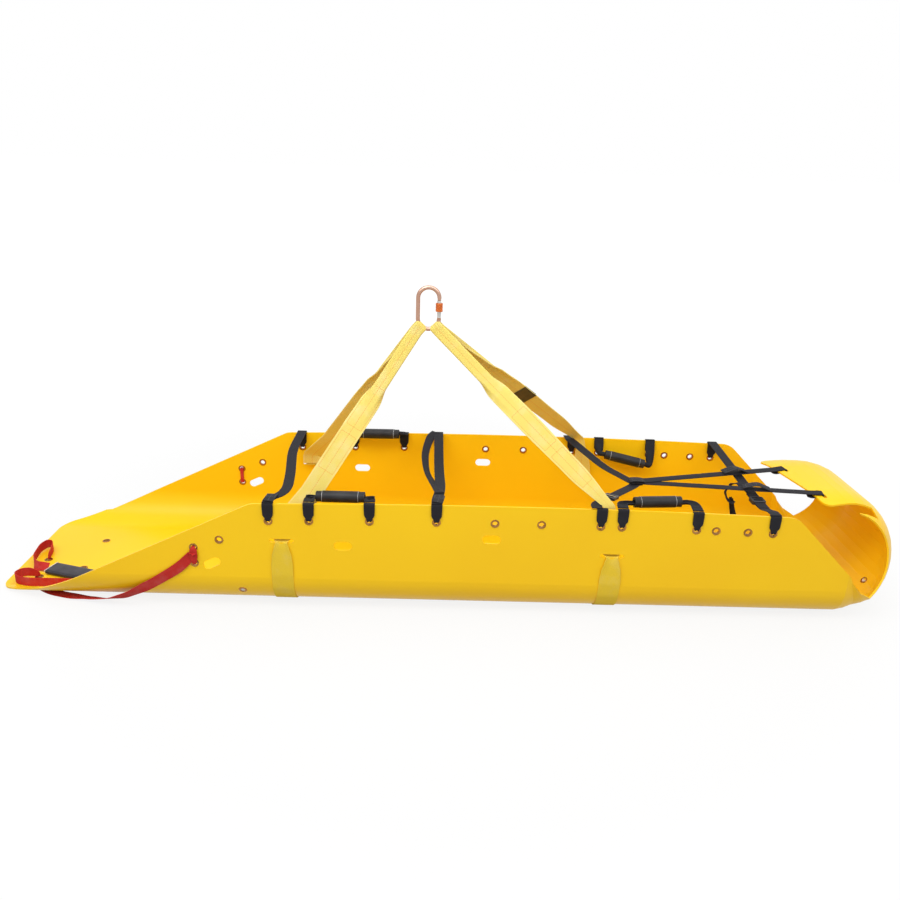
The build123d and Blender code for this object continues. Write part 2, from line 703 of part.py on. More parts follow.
def slider(layers):
    """A strap buckle that slides: a flat frame with a bar, open for this many layers of web."""
    inner_height = layers * WEB + (layers + 1) * GAP
    outer_width = STRAP_WIDTH + 2 * GAP + 2 * BUCKLE_WALL
    height = inner_height + 2 * BUCKLE_SKIN
    body = Box(outer_width, BUCKLE_LENGTH, height)
    body = fillet(body.edges().filter_by(Axis.Z), BUCKLE_WALL)
    body = chamfer(body.faces().sort_by(Axis.Z)[-1].edges(), BUCKLE_CHAMFER)
    body -= Box(STRAP_WIDTH + 2 * GAP, 2 * BUCKLE_LENGTH, inner_height)
    for sign in (-1, 1):
        window = Box(BUCKLE_WINDOW_LENGTH, BUCKLE_WINDOW, height)
        body -= Pos(0, sign * BUCKLE_WINDOW_OFFSET, height / 2) * window
    return body


def leg_buckle():
    """The buckle on the leg strap."""
    return Pos(LEG_X, LEG_BUCKLE_Y, LEG_RUN_Z + (WEB + GAP) / 2) * slider(2)


# Flap harness

def harness_level(layer):
    """The harness's joint, at this layer of the stack of webbing."""
    x, y, z = HARNESS_JOINT
    return x, y, z + layer * LAYER


def harness_near_points():
    """The near leg: over the rim, inward, down to the joint and level across it."""
    over, inside = over_rim(HARNESS_OVER_X, -1)
    joint = Vector(*harness_level(1))
    run = Vector(*inside) - joint
    landing = joint + Vector(run.X, run.Y, 0).normalized() * HARNESS_LANDING
    settled = Vector(*inside) + (landing - Vector(*inside)) * SETTLE_SHARE
    return over, inside, tuple(settled), tuple(landing), tuple(joint)


def harness_leg(points, overrun):
    """A leg of the harness, carried on past the joint by this much."""
    path = [Vector(*p) for p in points]
    travel = (path[-1] - path[-2]).normalized()
    level = Vector(travel.X, travel.Y, 0).normalized()
    path[-1] = path[-1] + level * overrun
    side = (-level.Y, level.X, 0)
    flip = -1 if side[0] < 0 else 1
    side = tuple(flip * value for value in side)
    bend = tuple((a + b) / 2 for a, b in zip(side, (1, 0, 0)))
    dirs = [(1, 0, 0), bend] + [side] * (len(path) - 2)
    return webbing([tuple(p) for p in path], dirs)


def harness_lock():
    """The sliding lock on the near leg, square to the run."""
    _, _, settled, landing, _ = harness_near_points()
    start, end = Vector(*settled), Vector(*landing)
    travel = (end - start).normalized()
    side = Vector(travel.Y, -travel.X, 0).normalized()
    centre = start + (end - start) * LOCK_SHARE
    place = Plane(origin=centre, x_dir=side, z_dir=side.cross(travel))
    return place * slider(1)


def top_point(body, x, y):
    """The point of the flap's upper face above (x, y)."""
    ray = Edge.make_line((x, y, CURL_Z), (x, y, CURL_Z + 2 * CURL_RADIUS))
    inside = body.intersect(ray)
    height = max(vertex.Z for vertex in inside.vertices())
    return Vector(x, y, height)


def flap_plane(body, slot):
    """A plane on the flap's upper face over a slot, X from the end edge inward."""
    skew = math.radians(FLAP_END_SKEW)
    toward = Vector(math.cos(skew), math.sin(skew))
    aside = Vector(-math.sin(skew), math.cos(skew))
    solid_at = Vector(*slot) - toward * FLAP_SLOT_WIDTH
    here = top_point(body, solid_at.X, solid_at.Y)
    back = solid_at - toward * FLAP_SLOT_WIDTH / 2
    behind = top_point(body, back.X, back.Y)
    off = solid_at + aside * FLAP_SLOT_WIDTH
    beside = top_point(body, off.X, off.Y)
    x_dir = (here - behind).normalized()
    normal = x_dir.cross(beside - here).normalized()
    return Plane(origin=here + x_dir * FLAP_SLOT_WIDTH, x_dir=x_dir, z_dir=normal)


def flap_loop(body, slot):
    """A turn of webbing round the flap's end edge and through its slot, and its outer middle."""
    skew = math.radians(FLAP_END_SKEW)
    place = flap_plane(body, slot)
    edge_x = (FLAP_END_X - slot[0]) * math.cos(skew) + (FLAP_DRIFT - slot[1]) * math.sin(skew)
    left = edge_x - FLAP_LOOP_REACH - WEB
    centre = (left + WEB / 2) / 2
    length = WEB / 2 - left
    height = SHEET + 2 * FLAP_LOOP_PLAY
    outer = Pos(centre, 0) * RectangleRounded(length, height + 2 * WEB, WEB)
    inner = Pos(centre, 0) * RectangleRounded(length - 2 * WEB, height, WEB / 4)
    side_view = Plane(origin=(0, 0, -SHEET / 2), x_dir=(1, 0, 0), z_dir=(0, -1, 0))
    ring = extrude(side_view * (outer - inner), amount=STRAP_WIDTH / 2, both=True)
    middle = place * Pos(left + WEB / 2, 0, -SHEET / 2)
    return place * ring, middle.position, place.y_dir


def flap_web(body, slot, layer):
    """A long strap from the harness's joint to the flap, with its loop through the slot."""
    ring, middle, side = flap_loop(body, slot)
    start = Vector(*harness_level(layer))
    travel = (middle - start).normalized()
    level = Vector(travel.Y, -travel.X, 0).normalized()
    if level.Y < 0:
        level = level * -1
    start = start - Vector(travel.X, travel.Y, 0) * PATCH_LENGTH / 2
    return ring + webbing([tuple(start), tuple(middle)], [tuple(level), tuple(side)])


def harness_patch():
    """The sewn patch on top of the harness's joint."""
    plate = Pos(*harness_level(PATCH_LAYER)) * Box(PATCH_LENGTH, PATCH_WIDTH, PATCH_THICKNESS)
    return fillet(plate.edges().filter_by(Axis.Z), PATCH_ROUND)


# Tow strap

def edgewise(points, eyelet_at=None):
    """Webbing that stands on its edge, along a smooth plan line, and out of its eyelet."""
    line = Spline(*points)
    body = extrude(trace(line, TOW_WEB), amount=TOW_EDGE_HEIGHT)
    body = Pos(0, 0, TOW_EDGE_FOOT) * body
    if eyelet_at:
        x, y = eyelet_at
        stem = Cylinder(EYELET_BORE / 2 - 2 * GAP, TOW_EDGE_FOOT + TOW_STEM_LAP)
        body += Pos(x, y, GAP + (TOW_EDGE_FOOT + TOW_STEM_LAP) / 2) * stem
    return body


def at_tip(points):
    """Plan points from their distances to the end of the tip."""
    return [(x - HALF_LENGTH, y) for x, y in points]


def tow_near_coil():
    """The near coil: up out of its eyelet, round, and back along the floor inside."""
    eyelet_at = TIP_EYELETS[0]
    return edgewise([eyelet_at, *at_tip(NEAR_COIL), *at_tip(INNER_RUN)], eyelet_at)


def tow_far_coil():
    """The far coil: up out of its eyelet, round, and into the tow grip."""
    eyelet_at = TIP_EYELETS[1]
    turn = math.radians(TOW_GRIP_TURN)
    x, y = at_tip([TOW_GRIP_MOUTH])[0]
    mouth = (x - 2 * GAP * math.cos(turn), y - 2 * GAP * math.sin(turn))
    return edgewise([eyelet_at, *at_tip(FAR_COIL), mouth], eyelet_at)


def tow_anchor(side):
    """The tab of webbing through the two anchor eyelets of one wall."""
    sign = SIDES[side]
    low, high = TOW_ANCHOR_Z
    half = SHEET / 2 + EYELET_RIM + GAP
    outer = Rectangle(2 * half + 2 * WEB, high - low + WEB)
    ring = outer - Rectangle(2 * half, high - low - WEB)
    return across(Pos(sign * WALL_MID, (low + high) / 2) * ring, TOW_ANCHOR_X, LOOP_NECK)


def tow_run():
    """The run outside the near wall: from its anchor eyelets down and under the tip."""
    outside = -(HALF_WIDTH + EYELET_RIM + GAP + TOW_WEB / 2)
    points = [(TOW_ANCHOR_X, outside, sum(TOW_ANCHOR_Z) / 2)]
    to_tip = -HALF_LENGTH - TOW_ANCHOR_X
    points += [(TOW_ANCHOR_X + share * to_tip, outside + inward, z) for share, inward, z in TOW_RUN]
    facings = [Vector(0, -1, 0)] * len(TOW_RUN) + [Vector(0, -1, -1)]
    floor_z = GAP + TOW_WEB / 2
    points += [(TOW_ANCHOR_X + share * to_tip, inward - HALF_WIDTH, floor_z) for share, inward in TOW_FLOOR]
    facings += [Vector(0, 0, -1)] * len(TOW_FLOOR)
    dirs = []
    for i, facing in enumerate(facings):
        ahead = Vector(*points[min(i + 1, len(points) - 1)])
        behind = Vector(*points[max(i - 1, 0)])
        dirs.append(tuple(facing.cross(ahead - behind)))
    return webbing(points, dirs, thickness=TOW_WEB) + tow_anchor("near")


def tow_grip():
    """The padded flat sleeve that the tow strap is pulled by."""
    plate = Box(TOW_GRIP_LENGTH, TOW_GRIP_WIDTH, TOW_GRIP_THICKNESS)
    plate = fillet(plate.edges().filter_by(Axis.Y), TOW_GRIP_THICKNESS / 2 - RUNNING_FIT)
    place = Pos(*at_tip([TOW_GRIP_MOUTH])[0], TOW_GRIP_Z) * Rot(0, 0, TOW_GRIP_TURN)
    return place * Pos(TOW_GRIP_LENGTH / 2, 0, 0) * plate


# Carabiner

def carabiner_frame():
    """The oval of steel rod, open on the gate side, with the hinge lug and the nose tongue."""
    upper = BOW_Z + BOW_SPACING
    right = CARABINER_X + BOW_RADIUS
    left = CARABINER_X - BOW_RADIUS
    top = ThreePointArc((right, 0, upper), (CARABINER_X, 0, upper + BOW_RADIUS), (left, 0, upper))
    spine = Line((left, 0, upper), (left, 0, BOW_Z))
    bottom = ThreePointArc((left, 0, BOW_Z), (CARABINER_X, 0, BOW_Z - BOW_RADIUS), (right, 0, BOW_Z))
    path = top + spine + bottom
    start = Plane(origin=(right, 0, upper), z_dir=(0, 0, 1))
    body = sweep(start * Circle(WIRE_RADIUS), path=path)
    plate_height = GATE_PIVOT_Z + LUG_FOOT
    plate = Pos(right, BOW_Z - LUG_FOOT + plate_height / 2) * Rectangle(2 * LUG_ROUND, plate_height)
    plate += Pos(right, BOW_Z + GATE_PIVOT_Z) * Circle(LUG_ROUND)
    body += along(plate, 0, LUG_THICKNESS)
    body -= Pos(right, 0, BOW_Z + GATE_PIVOT_Z) * Rot(90, 0, 0) * Cylinder(
        GATE_PIN_RADIUS + RUNNING_FIT, 2 * LUG_THICKNESS
    )
    nose = BOW_Z + NOSE_Z
    body += Pos(right, 0, (nose + upper) / 2) * Cylinder(NOSE_RADIUS, upper - nose)
    tongue = Pos(right, nose + (TONGUE_ROOT - TONGUE_LENGTH) / 2)
    body += along(tongue * Rectangle(TONGUE_WIDTH, TONGUE_LENGTH + TONGUE_ROOT), 0, TONGUE_THICKNESS)
    head = Pos(right, nose - TONGUE_LENGTH + TONGUE_HEAD / 2) * Circle(TONGUE_HEAD)
    body += along(head, 0, TONGUE_THICKNESS + TONGUE_HEAD)
    return body


def carabiner_gate():
    """The barrel gate: forked at the pin, slotted at the top for the nose tongue."""
    right = CARABINER_X + BOW_RADIUS
    bottom = BOW_Z + GATE_FOOT_Z
    height = GATE_TOP_Z - GATE_FOOT_Z
    body = Pos(right, 0, bottom + height / 2) * Cylinder(GATE_RADIUS, height)
    fork_top = GATE_PIVOT_Z + LUG_ROUND + 2 * FORK_PLAY
    fork = Pos(right, BOW_Z + fork_top / 2) * Rectangle(4 * GATE_RADIUS, fork_top)
    body -= along(fork, 0, LUG_THICKNESS + 2 * FORK_PLAY)
    body -= Pos(right, 0, BOW_Z + GATE_PIVOT_Z) * Rot(90, 0, 0) * Cylinder(
        GATE_PIN_RADIUS + RUNNING_FIT, 4 * GATE_RADIUS
    )
    depth = GATE_TOP_Z - (NOSE_Z - TONGUE_LENGTH) + 2 * FORK_PLAY
    open_x = right - TONGUE_WIDTH / 2 - FORK_PLAY
    slot = Pos(open_x + 2 * GATE_RADIUS, BOW_Z + GATE_TOP_Z - depth / 2) * Rectangle(4 * GATE_RADIUS, depth)
    body -= along(slot, 0, TONGUE_THICKNESS + 2 * FORK_PLAY)
    head_tall = 2 * TONGUE_HEAD + 2 * FORK_PLAY
    head_z = BOW_Z + NOSE_Z - TONGUE_LENGTH + TONGUE_HEAD / 2
    head = Pos(open_x + 2 * GATE_RADIUS, head_z) * Rectangle(4 * GATE_RADIUS, head_tall + FORK_PLAY)
    body -= along(head, 0, TONGUE_THICKNESS + TONGUE_HEAD + 2 * FORK_PLAY)
    return body


def gate_pin():
    """The rivet that the gate turns on."""
    right = CARABINER_X + BOW_RADIUS
    return Pos(right, 0, BOW_Z + GATE_PIVOT_Z) * Rot(90, 0, 0) * Cylinder(GATE_PIN_RADIUS, GATE_PIN_LENGTH)


def gate_sleeve():
    """The screw sleeve, with three gripping bands and a mouth that clears the nose."""
    right = CARABINER_X + BOW_RADIUS
    body = Cylinder(SLEEVE_RADIUS, SLEEVE_LENGTH)
    body = fillet(body.edges().filter_by(GeomType.CIRCLE), SLEEVE_ROUND)
    for sign in (-1, 1):
        ring = Torus(SLEEVE_RADIUS + SLEEVE_GROOVE / 2, SLEEVE_GROOVE)
        body -= Pos(0, 0, sign * SLEEVE_GROOVE_PITCH / 2) * ring
    body -= Cylinder(GATE_RADIUS + RUNNING_FIT, 2 * SLEEVE_LENGTH)
    body -= Pos(0, 0, SLEEVE_LENGTH / 2) * Cylinder(SLEEVE_MOUTH_RADIUS, 2 * SLEEVE_MOUTH_DEPTH)
    return Pos(right, 0, BOW_Z + SLEEVE_Z + SLEEVE_LENGTH / 2) * body


HANDLES = {
    "near_head_handle": ("near", NEAR_HEAD_HANDLE_X, (30.0, 24.0), 0.0),
    "near_foot_handle": ("near", NEAR_FOOT_HANDLE_X, (24.0, 42.0), 6.0),
    "far_head_handle": ("far", FAR_HEAD_HANDLE_X, (24.0, 32.0), 12.0),
    "far_foot_handle": ("far", FAR_FOOT_HANDLE_X, (42.0, 72.0), -64.0),
}
STRAP_LOOPS = {"shoulder": SHOULDER_X, "middle": MIDDLE_X, "leg": LEG_X, "harness": HARNESS_X}

if __name__ == "__main__":
    os.makedirs("parts", exist_ok=True)
    sheet = shell().solid()
    export("shell", sheet)
    for side in SIDES:
        export(f"{side}_eyelets", group(wall_eyelet_set(side)))
    export("tip_eyelets", group(tip_eyelet_set()))
    for name, (side, stations, reaches, lean) in HANDLES.items():
        export(f"{name}_loops", group([rim_loop(x, side) for x in stations]))
        export(f"{name}_strap", handle_strap(side, stations, reaches, lean))
        export(f"{name}_grip", handle_grip(side, stations, reaches, lean))
    for name, x in STRAP_LOOPS.items():
        export(f"{name}_loops", group([rim_loop(x, side) for side in SIDES]))
    export("shoulder_strap", cross_strap(SHOULDER_X, SHOULDER_RUN))
    export("middle_strap", cross_strap(MIDDLE_X, MIDDLE_RUN))
    leg_far, leg_near = leg_webs()
    export("leg_strap_far_web", leg_far)
    export("leg_strap_near_web", leg_near)
    export("leg_strap_buckle", leg_buckle())
    far_over, far_inside = over_rim(HARNESS_OVER_X, 1)
    far_points = (far_over, far_inside, HARNESS_FAR_TURN, harness_level(0))
    export("harness_near_leg", harness_leg(harness_near_points(), HARNESS_OVERRUN))
    export("harness_far_leg", harness_leg(far_points, HARNESS_OVERRUN))
    export("harness_near_flap_web", flap_web(sheet, FLAP_SLOTS[1], 2))
    export("harness_far_flap_web", flap_web(sheet, FLAP_SLOTS[0], 3))
    export("harness_patch", harness_patch())
    export("harness_lock", harness_lock())
    export("tow_strap_run", tow_run())
    export("tow_strap_far_anchor", tow_anchor("far"))
    export("tow_strap_near_coil", tow_near_coil())
    export("tow_strap_far_coil", tow_far_coil())
    export("tow_grip", tow_grip())
    for name, place, saddle_sign in (("head", HEAD_SLING, -1), ("foot", FOOT_SLING, 1)):
        export(f"{name}_sling_belly", belly_band(place))
        export(f"{name}_sling_legs", sling_legs(place, saddle_sign))
    export("carabiner_frame", carabiner_frame())
    export("carabiner_gate", carabiner_gate())
    export("gate_pin", gate_pin())
    export("gate_sleeve", gate_sleeve())
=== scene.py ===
import math

import bpy
from mathutils import Matrix, Vector, noise


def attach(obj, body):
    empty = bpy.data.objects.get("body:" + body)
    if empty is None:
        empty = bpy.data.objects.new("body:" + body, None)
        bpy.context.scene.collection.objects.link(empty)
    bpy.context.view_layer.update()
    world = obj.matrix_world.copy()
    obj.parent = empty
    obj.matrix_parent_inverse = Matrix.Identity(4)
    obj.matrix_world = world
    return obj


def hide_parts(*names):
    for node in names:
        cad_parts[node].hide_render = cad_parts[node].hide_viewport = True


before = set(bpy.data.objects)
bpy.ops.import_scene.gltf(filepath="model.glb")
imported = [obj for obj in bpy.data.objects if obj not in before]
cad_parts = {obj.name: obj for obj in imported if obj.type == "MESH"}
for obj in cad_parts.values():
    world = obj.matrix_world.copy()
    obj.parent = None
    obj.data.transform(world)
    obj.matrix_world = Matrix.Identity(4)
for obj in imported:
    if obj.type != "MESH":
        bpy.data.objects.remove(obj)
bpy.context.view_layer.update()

bl_info = {
    "name": "Rescue Stretcher",
    "version": (1, 0, 0),
    "blender": (4, 5, 0),
    "location": "View3D > Sidebar > Stretcher",
    "description": "Dresses a roll-up rescue stretcher with webbing, grips, slings and its finishes",
    "category": "Object",
}

MM = 0.001

# The sheet and the webbing over its rim, in millimetres
HALF_WIDTH = 245.0
WALL_MID = 243.0
RIM_HEIGHT = 273.0
RIM_CROWN = 9.0
RIM_MIDDLE = 170.0
RIM_HALF_RUN = 621.0
EYELET_DROP = 42.0
LOOP_INNER_Y = 238.6
LOOP_OUTER_Y = 247.4
OVER_RIM_Y = 246.0
INSIDE_RIM_Y = 222.0
STRAP_RISE = 3.9

# Stations along the rim
SHOULDER_X = -410.0
MIDDLE_X = -29.0
HARNESS_X = 345.0
HARNESS_OVER_X = 333.0
LEG_X = 740.0
STRAP_LOOPS = {"shoulder": SHOULDER_X, "middle": MIDDLE_X, "leg": LEG_X, "harness": HARNESS_X}
SIDES = {"near": -1, "far": 1}

# Handles: side, stations, reaches of the two ends of the bar, lean in degrees
HANDLES = {
    "near_head_handle": ("near", (-318.0, -181.0), (30.0, 24.0), 0.0),
    "near_foot_handle": ("near", (393.0, 564.0), (24.0, 42.0), 6.0),
    "far_head_handle": ("far", (-262.0, -125.0), (24.0, 32.0), 12.0),
    "far_foot_handle": ("far", (420.0, 564.0), (42.0, 72.0), -64.0),
}
HINGE_Y = 236.75
HINGE_RISE = 3.35
ROLL_RADIUS = 1.7
GRIP_HALF = 56.0
GRIP_BORE = 7.3

# Eyelets on the flap and low on the near wall, with the way each one faces
SPARE_EYELETS = (
    ((1041.4, -126.9, 55.2), (-0.707, 0.0, 0.707)),
    ((-479.0, -235.3, 48.1), (0.0, -0.897, -0.443)),
)

# Harness
HARNESS_JOINT = (470.0, -30.0, 257.0)
HARNESS_FAR_TURN = (408.0, 80.0, 258.0)
HARNESS_LANDING = 27.0
HARNESS_OVERRUN = 11.0
HARNESS_SETTLED = 0.12
FLAP_WEB_LAP = 17.0
LOCK_LINE_MIDDLE = (379.5, -156.8, 279.6)
LOCK_LINE_HALF = 13.0
LAYER = 2.6
# Flap slots: x, y, reach of the loop, heights of its top and underside at its start and at the slot
FLAP_LOOPS = {
    "near": (894.0, -122.0, 24.0, (283.2, 274.2), (285.8, 277.2)),
    "far": (864.0, 40.0, 27.0, (281.2, 273.4), (284.8, 276.6)),
}

# Carabiner and slings
CARABINER_X = -61.0
BOW_Z = 655.0
BOW_RADIUS = 25.0
SADDLE_ANGLES = (8.0, 80.0)
SLING_LANDING_Y = 229.0
SLING_SLOTS = {"head": (-382.0, 183.0, -1), "foot": (378.0, 165.0, 1)}
FOOT_SLING_RIM = (365.5, 281.0)


def length_setting(name, description, default):
    """A size in metres, given in millimetres."""
    return bpy.props.FloatProperty(name=name, description=description, default=default * MM, unit="LENGTH")


def colour_setting(name, description, default):
    """A linear colour."""
    return bpy.props.FloatVectorProperty(name=name, description=description, default=default, subtype="COLOR")


class StretcherSizes(bpy.types.PropertyGroup):
    """Sizes of the webbing and of the camera."""

    strap_width: length_setting("Strap width", "Width of the black webbing", 25)
    strap_thickness: length_setting("Strap thickness", "Thickness of the black webbing", 1.9)
    sling_width: length_setting("Sling width", "Width of the lifting slings and their bands", 50)
    sling_thickness: length_setting("Sling thickness", "Thickness of the lifting slings", 2.6)
    tow_width: length_setting("Tow strap width", "Width of the tow strap", 25)
    lens: bpy.props.FloatProperty(
        name="Lens", description="Focal length in millimetres", default=33.339, unit="CAMERA")
    camera_place: bpy.props.FloatVectorProperty(
        name="Camera", description="Place of the camera", default=(-0.0302, -1.9575, 1.0541),
        subtype="TRANSLATION")
    camera_turn: bpy.props.FloatVectorProperty(
        name="Camera turn", description="Tilt, roll and pan", subtype="EULER",
        default=(math.radians(-20.45), math.radians(-1.861), math.radians(-0.891)))


class StretcherColours(bpy.types.PropertyGroup):
    """Colours of the finishes."""

    sheet: colour_setting("Sheet", "Plastic of the sheet", (0.94, 0.585, 0.006))
    sling: colour_setting("Slings", "Webbing of the sling legs", (0.89, 0.70, 0.16))
    belly: colour_setting("Sling bands", "Webbing under the sheet", (0.92, 0.64, 0.04))
    strap: colour_setting("Straps", "Black webbing", (0.017, 0.0165, 0.021))
    tow: colour_setting("Tow strap", "Red webbing", (0.58, 0.028, 0.022))
    rubber: colour_setting("Grips", "Rubber of the grips", (0.010, 0.0095, 0.011))
    brass: colour_setting("Eyelets", "Metal of the eyelets", (0.46, 0.22, 0.055))
    carabiner: colour_setting("Carabiner", "Metal of the carabiner", (0.50, 0.28, 0.19))
    gate: colour_setting("Gate", "Metal of the gate", (0.66, 0.64, 0.60))
    sleeve: colour_setting("Sleeve", "Screw sleeve", (0.72, 0.17, 0.018))
    thread: colour_setting("Thread", "Stitching of the slings", (0.72, 0.24, 0.05))


def millimetres(name):
    """A size from the panel, in millimetres."""
    return round(getattr(bpy.context.scene.stretcher_sizes, name) / MM, 3)


# Node groups shared by the finishes

def new_group(name, inputs, outputs):
    """A shader node group with float or colour sockets."""
    tree = bpy.data.node_groups.new(name, "ShaderNodeTree")
    for socket, kind, default in inputs:
        made = tree.interface.new_socket(socket, in_out="INPUT", socket_type=kind)
        made.default_value = default
    for socket, kind in outputs:
        tree.interface.new_socket(socket, in_out="OUTPUT", socket_type=kind)
    source = tree.nodes.new("NodeGroupInput")
    sink = tree.nodes.new("NodeGroupOutput")
    return tree, source, sink


def math_node(tree, operation, first, second=None):
    """A math node whose inputs are sockets or plain numbers."""
    node = tree.nodes.new("ShaderNodeMath")
    node.operation = operation
    for socket, value in zip(node.inputs, (first, second)):
        if value is None:
            continue
        if isinstance(value, (int, float)):
            socket.default_value = value
        else:
            tree.links.new(value, socket)
    return node.outputs[0]


def mix_colour(tree, factor, first, second):
    """A colour mix whose inputs are sockets, numbers or colours."""
    node = tree.nodes.new("ShaderNodeMix")
    node.data_type = "RGBA"
    for index, value in ((0, factor), (6, first), (7, second)):
        if isinstance(value, bpy.types.NodeSocket):
            tree.links.new(value, node.inputs[index])
        else:
            node.inputs[index].default_value = value if index == 0 else (*value[:3], 1.0)
    return node.outputs[2]


def noise_value(tree, vector, scale, detail=3.0, roughness=0.5):
    """A noise texture's value."""
    node = tree.nodes.new("ShaderNodeTexNoise")
    node.inputs["Detail"].default_value = detail
    node.inputs["Roughness"].default_value = roughness
    if isinstance(scale, (int, float)):
        node.inputs["Scale"].default_value = scale
    else:
        tree.links.new(scale, node.inputs["Scale"])
    tree.links.new(vector, node.inputs["Vector"])
    return node.outputs[0]


def spread(tree, value, low, high, out_low=0.0, out_high=1.0):
    """A value stretched from one range to another and held there."""
    node = tree.nodes.new("ShaderNodeMapRange")
    tree.links.new(value, node.inputs["Value"])
    for socket, number in (("From Min", low), ("From Max", high), ("To Min", out_low), ("To Max", out_high)):
        node.inputs[socket].default_value = number
    return node.outputs[0]


# Painted shade: share by which the valleys between the threads are darkened towards black
WEAVE_VALLEY_PAINTED_SHADE = 0.34
WORN_SHARE = 0.55
SELVEDGE_SHARE = 0.25
STITCH_HALF = 0.0006
MIDDLE_HALF = 0.0005
STITCH_PITCH = 0.005
STITCH_LENGTH = 0.0034
STITCH_SHARE = 0.8


def weave_group():
    """Woven webbing: ribs across, columns along, painted shade in the valleys between the threads, a firm edge
    and handling marks.
    """
    tree, source, sink = new_group(
        "Woven webbing",
        [("Thread", "NodeSocketColor", (0.5, 0.5, 0.5, 1)), ("Worn", "NodeSocketColor", (0.6, 0.6, 0.6, 1)),
         ("Half width", "NodeSocketFloat", 0.0125), ("Rib", "NodeSocketFloat", 0.0016),
         ("Column", "NodeSocketFloat", 0.0021)],
        [("Colour", "NodeSocketColor"), ("Roughness", "NodeSocketFloat"), ("Height", "NodeSocketFloat")],
    )
    place = tree.nodes.new("ShaderNodeTexCoord")
    parts = tree.nodes.new("ShaderNodeSeparateXYZ")
    tree.links.new(place.outputs["UV"], parts.inputs[0])
    along, across = parts.outputs[0], parts.outputs[1]
    turn = 2 * math.pi
    rib = math_node(tree, "DIVIDE", math_node(tree, "MULTIPLY", along, turn), source.outputs["Rib"])
    rib = math_node(tree, "SINE", rib)
    column = math_node(tree, "DIVIDE", math_node(tree, "MULTIPLY", across, turn), source.outputs["Column"])
    basket = math_node(tree, "MULTIPLY", rib, math_node(tree, "SINE", column))
    threads = spread(tree, basket, -1.0, 1.0)
    far_out = math_node(tree, "DIVIDE", math_node(tree, "ABSOLUTE", across), source.outputs["Half width"])
    selvedge = spread(tree, far_out, 0.84, 0.93)
    marks = noise_value(tree, place.outputs["Object"], 23.0, 5.0, 0.65)
    worn = spread(tree, marks, 0.48, 0.72)
    share = math_node(tree, "MULTIPLY", worn, WORN_SHARE)
    shade = mix_colour(tree, share, source.outputs["Thread"], source.outputs["Worn"])
    # Painted shade: the weave's valleys, where its height is low, are darkened towards black
    painted_valley_shade = math_node(tree, "MULTIPLY", math_node(tree, "SUBTRACT", 1.0, threads), WEAVE_VALLEY_PAINTED_SHADE)
    valley_shaded_colour = mix_colour(tree, painted_valley_shade, shade, (0.0, 0.0, 0.0))
    edge = mix_colour(tree, math_node(tree, "MULTIPLY", selvedge, SELVEDGE_SHARE), valley_shaded_colour, source.outputs["Worn"])
    tree.links.new(edge, sink.inputs["Colour"])
    rough = math_node(tree, "ADD", 0.68, math_node(tree, "MULTIPLY", worn, 0.18))
    tree.links.new(rough, sink.inputs["Roughness"])
    height = math_node(tree, "ADD", threads, math_node(tree, "MULTIPLY", selvedge, 0.5))
    tree.links.new(height, sink.inputs["Height"])
    return tree


def scuff_group():
    """Scuffs and slow colour changes of a handled surface, from its Object coordinates."""
    tree, source, sink = new_group(
        "Handled surface",
        [("Colour", "NodeSocketColor", (0.5, 0.5, 0.5, 1)), ("Faded", "NodeSocketColor", (0.6, 0.6, 0.6, 1)),
         ("Patch size", "NodeSocketFloat", 4.0), ("Grain size", "NodeSocketFloat", 900.0),
         ("Smooth", "NodeSocketFloat", 0.3), ("Scuffed", "NodeSocketFloat", 0.5)],
        [("Colour", "NodeSocketColor"), ("Roughness", "NodeSocketFloat"), ("Height", "NodeSocketFloat")],
    )
    place = tree.nodes.new("ShaderNodeTexCoord")
    patches = spread(tree, noise_value(tree, place.outputs["Object"], source.outputs["Patch size"]), 0.35, 0.7)
    grain = noise_value(tree, place.outputs["Object"], source.outputs["Grain size"], 2.0)
    stretch = tree.nodes.new("ShaderNodeMapping")
    stretch.inputs["Scale"].default_value = (6.0, 60.0, 60.0)
    tree.links.new(place.outputs["Object"], stretch.inputs["Vector"])
    scratches = spread(tree, noise_value(tree, stretch.outputs[0], 4.0, 6.0, 0.7), 0.62, 0.74)
    tree.links.new(mix_colour(tree, patches, source.outputs["Colour"], source.outputs["Faded"]),
                   sink.inputs["Colour"])
    blend = tree.nodes.new("ShaderNodeMix")
    tree.links.new(scratches, blend.inputs[0])
    tree.links.new(source.outputs["Smooth"], blend.inputs[2])
    tree.links.new(source.outputs["Scuffed"], blend.inputs[3])
    tree.links.new(blend.outputs[0], sink.inputs["Roughness"])
    rise = math_node(tree, "SUBTRACT", grain, math_node(tree, "MULTIPLY", scratches, 0.6))
    tree.links.new(rise, sink.inputs["Height"])
    return tree


